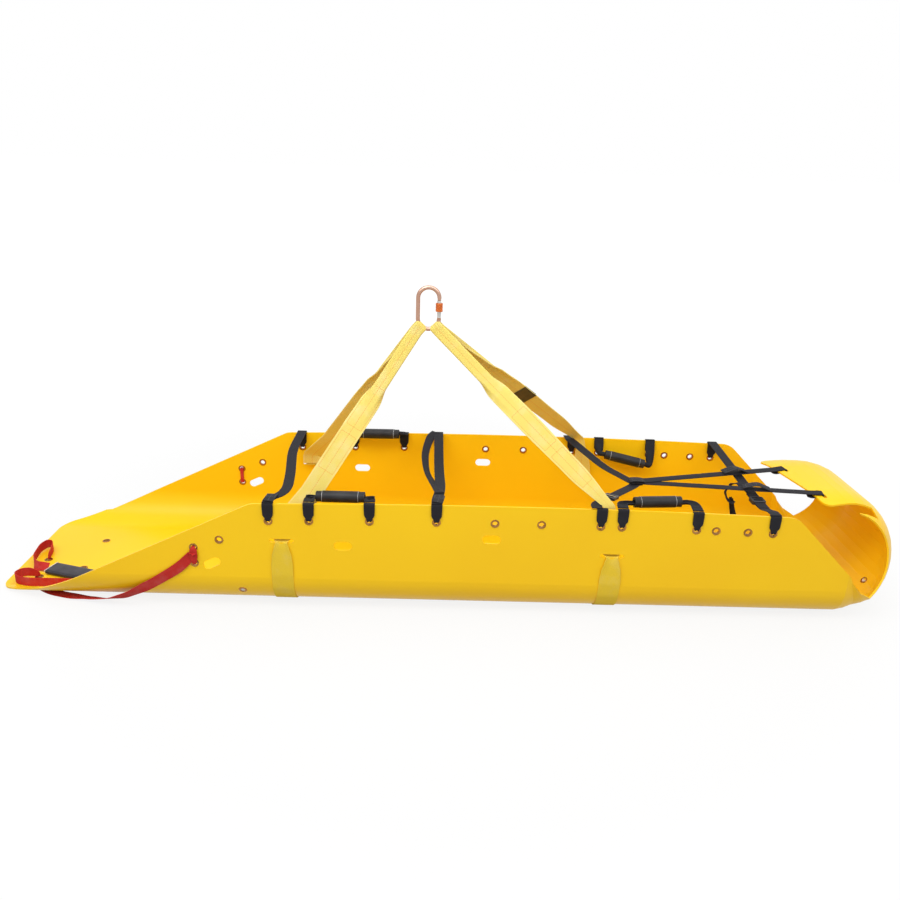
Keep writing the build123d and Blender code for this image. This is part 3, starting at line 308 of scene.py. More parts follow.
def stitch_group():
    """A dashed box of stitching on the webbing's own UV map, with a line down its middle."""
    tree, source, sink = new_group(
        "Box stitching",
        [("Colour", "NodeSocketColor", (0.5, 0.5, 0.5, 1)), ("Thread", "NodeSocketColor", (0.7, 0.3, 0.1, 1)),
         ("Box middle", "NodeSocketFloat", 0.3), ("Box half length", "NodeSocketFloat", 0.06),
         ("Box half width", "NodeSocketFloat", 0.019)],
        [("Colour", "NodeSocketColor")],
    )
    place = tree.nodes.new("ShaderNodeTexCoord")
    parts = tree.nodes.new("ShaderNodeSeparateXYZ")
    tree.links.new(place.outputs["UV"], parts.inputs[0])
    along, across = parts.outputs[0], math_node(tree, "ABSOLUTE", parts.outputs[1])
    off = math_node(tree, "ABSOLUTE", math_node(tree, "SUBTRACT", along, source.outputs["Box middle"]))
    past_end = math_node(tree, "SUBTRACT", off, source.outputs["Box half length"])
    past_side = math_node(tree, "SUBTRACT", across, source.outputs["Box half width"])
    outside = math_node(tree, "MAXIMUM", past_end, past_side)
    line = math_node(tree, "LESS_THAN", math_node(tree, "ABSOLUTE", outside), STITCH_HALF)
    middle = math_node(tree, "LESS_THAN", across, MIDDLE_HALF)
    way = math_node(tree, "ADD", math_node(tree, "ADD", along, across), 9.0)
    dashes = math_node(tree, "LESS_THAN", math_node(tree, "MODULO", way, STITCH_PITCH), STITCH_LENGTH)
    either = math_node(tree, "MAXIMUM", line, middle)
    mask = math_node(tree, "MULTIPLY", either, dashes)
    shown = math_node(tree, "MULTIPLY", mask, STITCH_SHARE)
    tree.links.new(mix_colour(tree, shown, source.outputs["Colour"], source.outputs["Thread"]),
                   sink.inputs["Colour"])
    return tree


def bare_material(name, roughness, metallic=0.0, specular=0.5):
    """A material with one Principled shader and its constants set on the shader's own sockets."""
    material = bpy.data.materials.new(name)
    material.use_nodes = True
    shader = material.node_tree.nodes["Principled BSDF"]
    shader.inputs["Roughness"].default_value = roughness
    shader.inputs["Metallic"].default_value = metallic
    shader.inputs["Specular IOR Level"].default_value = specular
    return material, material.node_tree, shader


def place_group(tree, group, **values):
    """A node group in a material, with its inputs set."""
    node = tree.nodes.new("ShaderNodeGroup")
    node.node_tree = group
    for name, value in values.items():
        socket = node.inputs[name.replace("_", " ")]
        socket.default_value = (*value, 1.0) if hasattr(value, "__len__") else value
    return node


def bump(tree, shader, height, distance, strength):
    """A bump of this height in metres on the shader's normal."""
    node = tree.nodes.new("ShaderNodeBump")
    node.inputs["Distance"].default_value = distance
    node.inputs["Strength"].default_value = strength
    tree.links.new(height, node.inputs["Height"])
    tree.links.new(node.outputs[0], shader.inputs["Normal"])


def lighter(colour, amount):
    """A colour moved towards white."""
    return tuple(c + (1 - c) * amount for c in colour)


def handled(name, colour, faded, smooth, scuffed, grain, depth, patch=4.0, **shader_values):
    """A moulded, rubber or metal finish with scuffs."""
    material, tree, shader = bare_material(name, smooth, **shader_values)
    group = place_group(tree, GROUPS["scuff"], Colour=colour, Faded=faded, Patch_size=patch,
                        Grain_size=grain, Smooth=smooth, Scuffed=scuffed)
    tree.links.new(group.outputs["Colour"], shader.inputs["Base Color"])
    tree.links.new(group.outputs["Roughness"], shader.inputs["Roughness"])
    bump(tree, shader, group.outputs["Height"], depth, 0.5)
    return material


def woven(name, colour, worn, half_width=0.0125, rib=0.0016, column=0.0021, stitches=(), thread=None,
          depth=0.0002):
    """Webbing, with boxes of stitching where they are asked for."""
    material, tree, shader = bare_material(name, 0.75, specular=0.16)
    group = place_group(tree, GROUPS["weave"], Thread=colour, Worn=worn, Half_width=half_width,
                        Rib=rib, Column=column)
    shade, height = group.outputs["Colour"], group.outputs["Height"]
    for middle, half_length in stitches:
        box = place_group(tree, GROUPS["stitch"], Thread=thread, Box_middle=middle,
                          Box_half_length=half_length, Box_half_width=half_width * 0.78)
        tree.links.new(shade, box.inputs["Colour"])
        shade = box.outputs["Colour"]
    tree.links.new(shade, shader.inputs["Base Color"])
    tree.links.new(group.outputs["Roughness"], shader.inputs["Roughness"])
    bump(tree, shader, height, depth, 0.6)
    return material


GROUPS = {}
FINISHES = {}
SLING_STITCHES = ((0.235, 0.05), (0.36, 0.055))
FOLD_STITCHES = ((0.02, 0.012),)


def make_finishes():
    """All the node groups and materials, from the colours in the panel."""
    colours = bpy.context.scene.stretcher_colours
    GROUPS.update(weave=weave_group(), scuff=scuff_group(), stitch=stitch_group())
    sheet, sling, belly, strap, tow, rubber, brass, steel, gate, sleeve, thread = (
        tuple(getattr(colours, name)) for name in ("sheet", "sling", "belly", "strap", "tow", "rubber", "brass",
                                                   "carabiner", "gate", "sleeve", "thread"))
    made = FINISHES
    made["sheet"] = handled("sheet plastic", sheet, (sheet[0] * 0.97, sheet[1] * 0.93, sheet[2]),
                            0.36, 0.5, 240.0, 0.00008, 2.5, specular=0.22)
    made["strap"] = woven("black webbing", strap, lighter(strap, 0.022))
    # Painted highlight: the raised doubled folds, bulges and patch take a lighter copy of the black webbing, with
    # its stitching
    made["lit_strap_fold"] = woven("black webbing, doubled, painted lighter", lighter(strap, 0.008), lighter(strap, 0.035),
                               stitches=FOLD_STITCHES, thread=lighter(strap, 0.08))
    broad = {"half_width": 0.025, "rib": 0.0022, "column": 0.0028, "depth": 0.00006}
    made["sling"] = woven("sling webbing", sling, lighter(sling, 0.25), stitches=SLING_STITCHES, thread=thread,
                          **broad)
    made["belly"] = woven("sling band webbing", belly, lighter(belly, 0.12), **broad)
    made["tow"] = woven("red webbing", tow, lighter(tow, 0.1))
    # Finish: name, colour, faded colour, roughness smooth and scuffed, grain, depth of grain, patch size
    rows = {
        "rubber": ("grip rubber", rubber, lighter(rubber, 0.015), 0.46, 0.62, 1400.0, 0.00012, 30.0),
        "print_line": ("grip line", (0.55, 0.55, 0.55), (0.4, 0.4, 0.4), 0.5, 0.6, 900.0, 0.00002),
        "pad": ("pad fabric", (0.030, 0.028, 0.034), (0.05, 0.046, 0.055), 0.42, 0.6, 1600.0, 0.0001, 40.0),
        "pad_top": ("pad top", (0.024, 0.021, 0.027), (0.045, 0.04, 0.05), 0.3, 0.45, 1600.0, 0.0001, 40.0),
        "piping": ("piping", (0.75, 0.72, 0.70), (0.6, 0.58, 0.55), 0.5, 0.6, 1200.0, 0.00005),
        "beige": ("beige thread", (0.52, 0.42, 0.28), (0.42, 0.33, 0.21), 0.6, 0.7, 1200.0, 0.00005),
        "label": ("bare label", (0.030, 0.024, 0.020), (0.06, 0.04, 0.028), 0.45, 0.6, 700.0, 0.0001, 90.0),
        "brass": ("eyelet brass", brass, (0.24, 0.11, 0.03), 0.26, 0.5, 1500.0, 0.00006, 60.0),
        "steel": ("carabiner steel", steel, lighter(steel, 0.12), 0.24, 0.4, 1200.0, 0.00002, 25.0),
        "gate": ("gate steel", gate, (0.45, 0.43, 0.40), 0.28, 0.45, 1200.0, 0.00002, 60.0),
        "sleeve": ("sleeve finish", sleeve, (0.50, 0.10, 0.012), 0.36, 0.5, 900.0, 0.0002, 80.0),
        "buckle": ("moulded black", (0.014, 0.014, 0.016), (0.03, 0.03, 0.032), 0.38, 0.55, 1500.0,
                   0.00006, 40.0),
    }
    shine = {"rubber": {"specular": 0.28}, "pad": {"specular": 0.2}, "pad_top": {"specular": 0.2},
             "brass": {"metallic": 1.0}, "steel": {"metallic": 1.0}, "gate": {"metallic": 1.0},
             "sleeve": {"metallic": 0.35}}
    for key, row in rows.items():
        made[key] = handled(*row, **shine.get(key, {}))


# Modelling helpers

class Stop:
    """One place on a strap's way: where it is, the direction of its width, how far it curls and its width."""

    def __init__(self, at, side, curl=0.0, width=25.0, hem=0.0):
        self.at = Vector(at)
        self.side = Vector(side).normalized()
        self.curl = curl
        self.width = width
        self.hem = hem


class Route:
    """A strap's middle line through its stops, with rounded corners, walked by distance."""

    CORNER_STEPS = 8
    TRAVEL_REACH = 1.5

    def __init__(self, stops, rounding):
        self.stops = stops
        path = [(stops[0].at, 0.0)]
        for i in range(1, len(stops) - 1):
            before, here, after = stops[i - 1].at, stops[i].at, stops[i + 1].at
            back, ahead = before - here, after - here
            cut = min(rounding, back.length * 0.49, ahead.length * 0.49)
            start, end = here + back.normalized() * cut, here + ahead.normalized() * cut
            for k in range(self.CORNER_STEPS + 1):
                t = k / self.CORNER_STEPS
                point = start * (1 - t) ** 2 + here * 2 * t * (1 - t) + end * t * t
                drift = -cut / back.length * (1 - t) + cut / ahead.length * t
                path.append((point, i + drift))
        path.append((stops[-1].at, len(stops) - 1.0))
        self.path = path
        self.marks = [0.0]
        for (a, _), (b, _) in zip(path, path[1:]):
            self.marks.append(self.marks[-1] + (b - a).length)
        self.length = self.marks[-1]

    def at(self, distance):
        """Point, and share of the way between stops, at this distance."""
        distance = min(max(distance, 0.0), self.length)
        index = 0
        while index < len(self.marks) - 2 and self.marks[index + 1] < distance:
            index += 1
        gap = self.marks[index + 1] - self.marks[index]
        t = (distance - self.marks[index]) / gap if gap else 0.0
        (a, share_a), (b, share_b) = self.path[index], self.path[index + 1]
        return a.lerp(b, t), share_a + (share_b - share_a) * t

    def frame(self, distance):
        """Point, width direction and face direction, with curl, width and hem, at this distance."""
        point, share = self.at(distance)
        travel = (self.at(distance + self.TRAVEL_REACH)[0]
                  - self.at(distance - self.TRAVEL_REACH)[0]).normalized()
        index = min(int(share), len(self.stops) - 2)
        t = share - index
        t = t * t * (3 - 2 * t)
        first, second = self.stops[index], self.stops[index + 1]
        side = first.side.lerp(second.side, t)
        side = (side - travel * side.dot(travel)).normalized()
        values = [a + (b - a) * t for a, b in ((first.curl, second.curl), (first.width, second.width),
                                               (first.hem, second.hem))]
        return point, side, travel.cross(side), values


HEM_CORE = 0.46
HEM_BEND = 2.6


def across_profile(over, width, curl, hem):
    """Sideways and outward offsets of a point across the strap, curled into a channel or hemmed."""
    if hem > 1:
        turn = math.radians(hem)
        reach = abs(over) * width
        core = width / 2 * HEM_CORE
        sign = 1 if over >= 0 else -1
        if reach <= core:
            return over * width, 0.0
        past = reach - core
        angle = min(past / HEM_BEND, turn)
        out = core + HEM_BEND * math.sin(angle)
        behind = HEM_BEND * (1 - math.cos(angle))
        straight = max(past - HEM_BEND * turn, 0.0)
        return sign * (out + straight * math.cos(turn)), behind + straight * math.sin(turn)
    if abs(curl) < 1:
        return over * width, 0.0
    turn = math.radians(abs(curl))
    radius = width / turn
    angle = over * turn
    rise = radius * (math.cos(angle) - math.cos(turn / 2))
    return radius * math.sin(angle), rise if curl > 0 else -rise


def deselect():
    bpy.ops.object.select_all(action="DESELECT")


def select_only(*pieces):
    """Select these pieces, with the first one active."""
    deselect()
    for piece in pieces:
        piece.select_set(True)
    bpy.context.view_layer.objects.active = pieces[0]


def apply_modifier(piece, kind, **values):
    """Add a modifier with these values and apply it."""
    select_only(piece)
    modifier = piece.modifiers.new(kind.lower(), kind)
    for name, value in values.items():
        setattr(modifier, name, value)
    bpy.ops.object.modifier_apply(modifier=modifier.name)


def smooth(piece, angle=38.0):
    select_only(piece)
    bpy.ops.object.shade_smooth_by_angle(angle=math.radians(angle))


# The panel's width for each finish, with the width its stops are written for
WIDTHS = {"strap": ("strap_width", 25.0), "lit_strap_fold": ("strap_width", 25.0), "tow": ("tow_width", 25.0),
          "sling": ("sling_width", 50.0), "belly": ("sling_width", 50.0)}
RIPPLE_LENGTH = 38.0
EDGE_SHARE = 0.3


def strip(name, stops, finish, thickness=None, rounding=6.0, step=3.0, across=8, ripple=0.25, seed=0.0):
    """A strap along its stops, in millimetres: a grid laid along the way, thickened and rounded."""
    thickness = thickness or millimetres("strap_thickness")
    wider = millimetres(WIDTHS[finish][0]) / WIDTHS[finish][1] if finish in WIDTHS else 1.0
    route = Route(stops, rounding)
    rows = max(10, round(route.length / step))
    deselect()
    bpy.ops.mesh.primitive_grid_add(x_subdivisions=rows, y_subdivisions=across, size=1)
    piece = bpy.context.object
    piece.name = name
    frames = [route.frame(route.length * i / rows) for i in range(rows + 1)]
    for vertex in piece.data.vertices:
        row = round((vertex.co.x + 0.5) * rows)
        over = vertex.co.y
        point, side, face, (curl, width, hem) = frames[row]
        sideways, outward = across_profile(over, width * wider, curl, hem)
        wave = noise.noise(Vector((row * step / RIPPLE_LENGTH + seed, over * 0.8, seed))) * ripple
        vertex.co = (point + side * sideways + face * (outward + wave)) * MM
    for corner in piece.data.uv_layers.active.data:
        corner.uv = (corner.uv[0] * route.length * MM, (corner.uv[1] - 0.5) * stops[0].width * wider * MM)
    piece.data.materials.append(FINISHES[finish])
    apply_modifier(piece, "SOLIDIFY", thickness=thickness * MM, offset=0.0)
    apply_modifier(piece, "BEVEL", width=thickness * EDGE_SHARE * MM, segments=2, limit_method="ANGLE",
                   angle_limit=math.radians(55))
    smooth(piece)
    return piece


def join(name, pieces):
    """Several meshes as one piece."""
    select_only(*pieces)
    if len(pieces) > 1:
        bpy.ops.object.join()
    piece = bpy.context.object
    piece.name = name
    return piece


def settle(piece, body, slot, *nodes):
    """Tell the frame what this piece rides on and which nodes it stands for. Its slot is not used."""
    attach(piece, body)
    if nodes:
        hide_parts(*nodes)


def lathe(name, profile, finish, steps=40):
    """A closed profile of radius and height, in millimetres, spun round the Z axis."""
    deselect()
    bpy.ops.mesh.primitive_circle_add(vertices=len(profile), fill_type="NOTHING", calc_uvs=False)
    piece = bpy.context.object
    piece.name = piece.data.name = name
    for vertex, (radius, height) in zip(piece.data.vertices, profile):
        vertex.co = (radius * MM, 0, height * MM)
    bpy.ops.object.mode_set(mode="EDIT")
    bpy.ops.mesh.select_all(action="SELECT")
    bpy.ops.mesh.spin(steps=steps, angle=2 * math.pi, center=(0, 0, 0), axis=(0, 0, 1))
    bpy.ops.mesh.select_all(action="SELECT")
    bpy.ops.mesh.remove_doubles(threshold=1e-6)
    bpy.ops.mesh.normals_make_consistent(inside=False)
    bpy.ops.object.mode_set(mode="OBJECT")
    piece.data.materials.append(FINISHES[finish])
    return piece


def lay(piece, matrix):
    """Put a piece's place into its mesh."""
    piece.data.transform(matrix)
    return piece


def rim_z(x):
    """Height of the rim at this station."""
    share = (x - RIM_MIDDLE) / RIM_HALF_RUN
    return RIM_HEIGHT + RIM_CROWN * (1 - share * share)


def dress_node(node, finish):
    """Give a CAD node its finish."""
    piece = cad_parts[node]
    piece.data.materials.clear()
    piece.data.materials.append(FINISHES[finish])


# Webbing over the rim

def rim_loop(x, side, seed):
    """A turn of webbing over the rim, gathered where it passes its eyelet."""
    sign = SIDES[side]
    top = rim_z(x) + 1.7
    hole = rim_z(x) - EYELET_DROP
    ways = (
        (WALL_MID, hole - 0.5, 70, 9), (247.2, hole - 1.5, 90, 9.5), (248.6, hole + 6, 70, 14),
        (247.9, hole + 17, 22, 24), (LOOP_OUTER_Y, top - 8, 0, 25), (LOOP_OUTER_Y, top, 0, 25),
        (LOOP_INNER_Y, top, 0, 25), (LOOP_INNER_Y, top - 8, 0, 25), (238.1, hole + 17, 22, 24),
        (237.4, hole + 6, 70, 14), (238.8, hole - 1.5, 90, 9.5), (WALL_MID, hole - 0.5, 70, 9),
    )
    stops = [Stop((x, sign * y, z), (sign, 0, 0), -curl, width) for y, z, curl, width in ways]
    return strip("loop", stops, "strap", rounding=2.6, step=2.2, ripple=0.35, seed=seed)


def over_rim(x, sign):
    """Two stops of a strap that lies over its rim loop."""
    z = rim_z(x) + STRAP_RISE
    return (x, sign * OVER_RIM_Y, z), (x, sign * INSIDE_RIM_Y, z - 0.6)


class STRETCHER_OT_stage(bpy.types.Operator):
    """Add the camera, the floor, the light and the world"""

    bl_idname = "stretcher.stage"
    bl_label = "Stage"

    def execute(self, context):
        sizes = context.scene.stretcher_sizes
        camera = bpy.data.objects.new("camera", bpy.data.cameras.new("camera"))
        context.scene.collection.objects.link(camera)
        camera.data.lens = sizes.lens
        camera.data.sensor_width = 36.0
        tilt, roll, pan = sizes.camera_turn
        turn = Matrix.Rotation(pan, 4, "Z") @ Matrix.Rotation(tilt, 4, "X") @ Matrix.Rotation(roll, 4, "Y")
        camera.matrix_world = (
            Matrix.Translation(sizes.camera_place) @ turn @ Matrix.Rotation(math.pi / 2, 4, "X"))
        context.scene.camera = camera
        context.scene.view_settings.view_transform = "Standard"
        deselect()
        bpy.ops.mesh.primitive_plane_add(size=60, location=(0, 0, 0))
        floor = context.object
        floor.name = "floor"
        floor.data.materials.append(self.floor_material())
        self.world(context.scene)
        for name, place, (length, depth), power in (
            ("key", (-1.4, -2.0, 3.4), (2.4, 2.4), 44.0),
            ("fill", (2.4, -1.6, 2.6), (2.2, 2.2), 14.0),
            ("top", (0.2, 0.7, 3.2), (3.0, 3.0), 34.0),
            ("strip", (-0.1, -0.85, 1.6), (3.2, 0.5), 15.0),
        ):
            lamp = bpy.data.lights.new(name, "AREA")
            lamp.shape = "RECTANGLE"
            lamp.size, lamp.size_y = length, depth
            lamp.energy = power
            holder = bpy.data.objects.new(name, lamp)
            holder.location = place
            aim = Vector((0, 0, 0.2)) - Vector(place)
            holder.rotation_euler = aim.to_track_quat("-Z", "Y").to_euler()
            holder.visible_camera = False
            context.scene.collection.objects.link(holder)
        return {"FINISHED"}

    def floor_material(self):
        """A pale floor that shows near white and keeps the shadow."""
        material, tree, shader = bare_material("floor", 0.8, specular=0.1)
        shader.inputs["Base Color"].default_value = (0.5, 0.5, 0.5, 1)
        glow = tree.nodes.new("ShaderNodeEmission")
        glow.inputs["Strength"].default_value = 1.07
        mixer = tree.nodes.new("ShaderNodeMixShader")
        path = tree.nodes.new("ShaderNodeLightPath")
        seen = math_node(tree, "MAXIMUM", path.outputs["Is Camera Ray"], path.outputs["Is Glossy Ray"])
        place = tree.nodes.new("ShaderNodeTexCoord")
        away = tree.nodes.new("ShaderNodeVectorMath")
        away.operation = "LENGTH"
        tree.links.new(place.outputs["Object"], away.inputs[0])
        glowing = spread(tree, away.outputs["Value"], 0.9, 2.2, 0.8, 1.0)
        tree.links.new(math_node(tree, "MULTIPLY", seen, glowing), mixer.inputs[0])
        tree.links.new(shader.outputs[0], mixer.inputs[1])
        tree.links.new(glow.outputs[0], mixer.inputs[2])
        tree.links.new(mixer.outputs[0], tree.nodes["Material Output"].inputs[0])
        return material

    def world(self, scene):
        """An even white surround, dimmer as a light than as a background."""
        scene.world = bpy.data.worlds.new("surround")
        scene.world.use_nodes = True
        tree = scene.world.node_tree
        back = tree.nodes["Background"]
        path = tree.nodes.new("ShaderNodeLightPath")
        seen = math_node(tree, "MAXIMUM", path.outputs["Is Camera Ray"], path.outputs["Is Glossy Ray"])
        back.inputs["Color"].default_value = (1, 1, 1, 1)
        tree.links.new(math_node(tree, "ADD", 0.62, math_node(tree, "MULTIPLY", seen, 0.38)),
                       back.inputs["Strength"])


class STRETCHER_OT_sheet(bpy.types.Operator):
    """Finish the sheet and its eyelets"""

    bl_idname = "stretcher.sheet"
    bl_label = "Sheet and eyelets"

    def execute(self, context):
        dress_node("shell", "sheet")
        for node in ("near_eyelets", "far_eyelets", "tip_eyelets"):
            dress_node(node, "brass")
        rings = [self.ring(place, normal) for place, normal in SPARE_EYELETS]
        rings = join("spare_eyelets", rings)
        smooth(rings, 40)
        settle(rings, "stretcher", "eyelet_brass")
        return {"FINISHED"}

    def ring(self, place, normal):
        """A spare eyelet: a rolled flange round a pale hole."""
        flange = lathe("flange", [(5.2, 0), (5.2, 0.9), (5.9, 1.5), (7.4, 1.6), (9.2, 1.0), (9.9, 0.1),
                                  (9.9, -0.4), (5.2, -0.4)], "brass", 32)
        floor = lathe("hole", [(0.01, -0.3), (0.01, 0.1), (5.3, 0.1), (5.3, -0.3)], "piping", 24)
        ring = join("ring", [flange, floor])
        turn = Vector(normal).to_track_quat("Z", "Y").to_matrix().to_4x4()
        return lay(ring, Matrix.Translation(Vector(place) * MM) @ turn)


class STRETCHER_OT_rim_loops(bpy.types.Operator):
    """Add the turns of webbing over the rim"""

    bl_idname = "stretcher.rim_loops"
    bl_label = "Rim loops"

    def execute(self, context):
        for number, (name, x) in enumerate(STRAP_LOOPS.items()):
            pieces = [rim_loop(x, side, number + SIDES[side] * 3.3) for side in SIDES]
            settle(join(f"{name}_loop_webbing", pieces), "stretcher", "strap_webbing", f"{name}_loops")
        for number, (name, (side, stations, _, _)) in enumerate(HANDLES.items()):
            pieces = [rim_loop(x, side, number * 7.1 + x) for x in stations]
            settle(join(f"{name}_loop_webbing", pieces), "stretcher", "strap_webbing", f"{name}_loops")
        return {"FINISHED"}


class STRETCHER_OT_cross_straps(bpy.types.Operator):
    """Add the shoulder and middle straps"""

    bl_idname = "stretcher.cross_straps"
    bl_label = "Cross straps"

    def execute(self, context):
        runs = {
            "shoulder": (SHOULDER_X, ((-414.0, 106.0, 272.0), (-390.0, -60.0, 273.0), (-381.0, -150.0, 276.0),
                                      (-386.0, -192.0, 277.0))),
            "middle": (MIDDLE_X, ((-26.0, 42.0, 256.0), (-21.0, -120.0, 268.0))),
        }
        along = (1, 0, 0)
        for number, (name, (x, run)) in enumerate(runs.items()):
            far_over, far_inside = over_rim(x, 1)
            near_over, near_inside = over_rim(x, -1)
            points = [far_over, far_inside, *run, near_inside, near_over]
            main = strip("strap", [Stop(p, along) for p in points], "strap", rounding=60, step=5,
                         seed=number * 4.0)
            fold = strip("fold", [
                Stop((x + 2, -196, rim_z(x) + 3.5), along, 0, 24),
                Stop((x + 6, -210, rim_z(x) + 9), (1, -0.1, 0), 12, 25),
                Stop((x + 4, -228, rim_z(x) + 9.5), along, 14, 25),
                Stop((x + 1, -243, rim_z(x) + 6.4), along, 8, 25),
            ], "lit_strap_fold", rounding=8, step=2.5, seed=number + 20.0)
            pieces = [main, fold]
            if name == "middle":
                pieces.append(self.tail(x))
            settle(join(f"{name}_strap_webbing", pieces), "stretcher", "strap_webbing", f"{name}_strap")
        return {"FINISHED"}

    def tail(self, x):
        """The loose end that hangs beside the middle strap."""
        z = rim_z(x)
        return strip("tail", [
            Stop((x - 8, 238, z + 6.4), (1, 0, 0), 0, 24), Stop((x - 22, 214, z + 1), (1, 0, -0.2), 6, 23),
            Stop((x - 36, 130, z - 14), (1, 0, -0.3), 14, 20), Stop((x - 30, 20, z - 26), (1, 0, -0.5), 16, 19),
            Stop((x - 6, -90, z - 17), (1, 0, -0.2), 12, 21), Stop((x + 6, -165, z - 3), (1, 0, 0), 6, 23),
        ], "strap", rounding=50, step=5, seed=31.0)


class STRETCHER_OT_leg_strap(bpy.types.Operator):
    """Add the leg strap with its lapped webs, its slack loop and its tails"""

    bl_idname = "stretcher.leg_strap"
    bl_label = "Leg strap"

    def execute(self, context):
        along = (1, 0, 0)
        far_over, far_inside = over_rim(LEG_X, 1)
        near_over, near_inside = over_rim(LEG_X, -1)
        low, high = 262.0, 264.3
        far_points = [far_over, far_inside, (LEG_X, -83, high), (LEG_X, -175, high)]
        near_points = [near_over, near_inside, (LEG_X, -177, low), (LEG_X, -85, low)]
        far_web = strip("leg_strap_far_webbing", [Stop(p, along) for p in far_points], "strap",
                        rounding=40, step=5)
        near_web = strip("leg_strap_near_webbing", [Stop(p, along) for p in near_points], "strap",
                         rounding=20, step=4)
        slack = strip("slack", [
            Stop((LEG_X - 6, -62, high + 2.5), along, 0, 25),
            Stop((LEG_X - 14, -40, high + 9), (1, 0.2, 0), 10, 25),
            Stop((LEG_X - 34, -34, high + 2), (0.8, 0.6, 0), 16, 25),
            Stop((LEG_X - 52, -48, high - 12), (0.3, 1, 0), 18, 25),
            Stop((LEG_X - 50, -66, high - 26), (-0.1, 1, 0.2), 14, 25),
            Stop((LEG_X - 34, -76, high - 32), (-0.3, 1, 0.2), 8, 25),
        ], "strap", rounding=14, step=3, seed=3.0)
        tails = [
            strip("tail", [
                Stop((LEG_X - 40, -60 - shift, high - 22), (0.9, 0.4, 0), 10, 9),
                Stop((LEG_X - 38 + shift * 0.4, -66 - shift, high - 48), (1, 0.2, 0), 14, 8),
                Stop((LEG_X - 30 + shift * 0.9, -72 - shift, high - 82), (0.9, -0.3, 0), 8, 7),
            ], "strap", thickness=1.4, rounding=16, step=3, across=4, seed=shift)
            for shift in (0.0, 9.0)
        ]
        far_web = join("leg_strap_far_webbing", [far_web, slack, *tails])
        settle(far_web, "stretcher", "strap_webbing", "leg_strap_far_web")
        settle(near_web, "stretcher", "strap_webbing", "leg_strap_near_web")
        dress_node("leg_strap_buckle", "buckle")
        return {"FINISHED"}


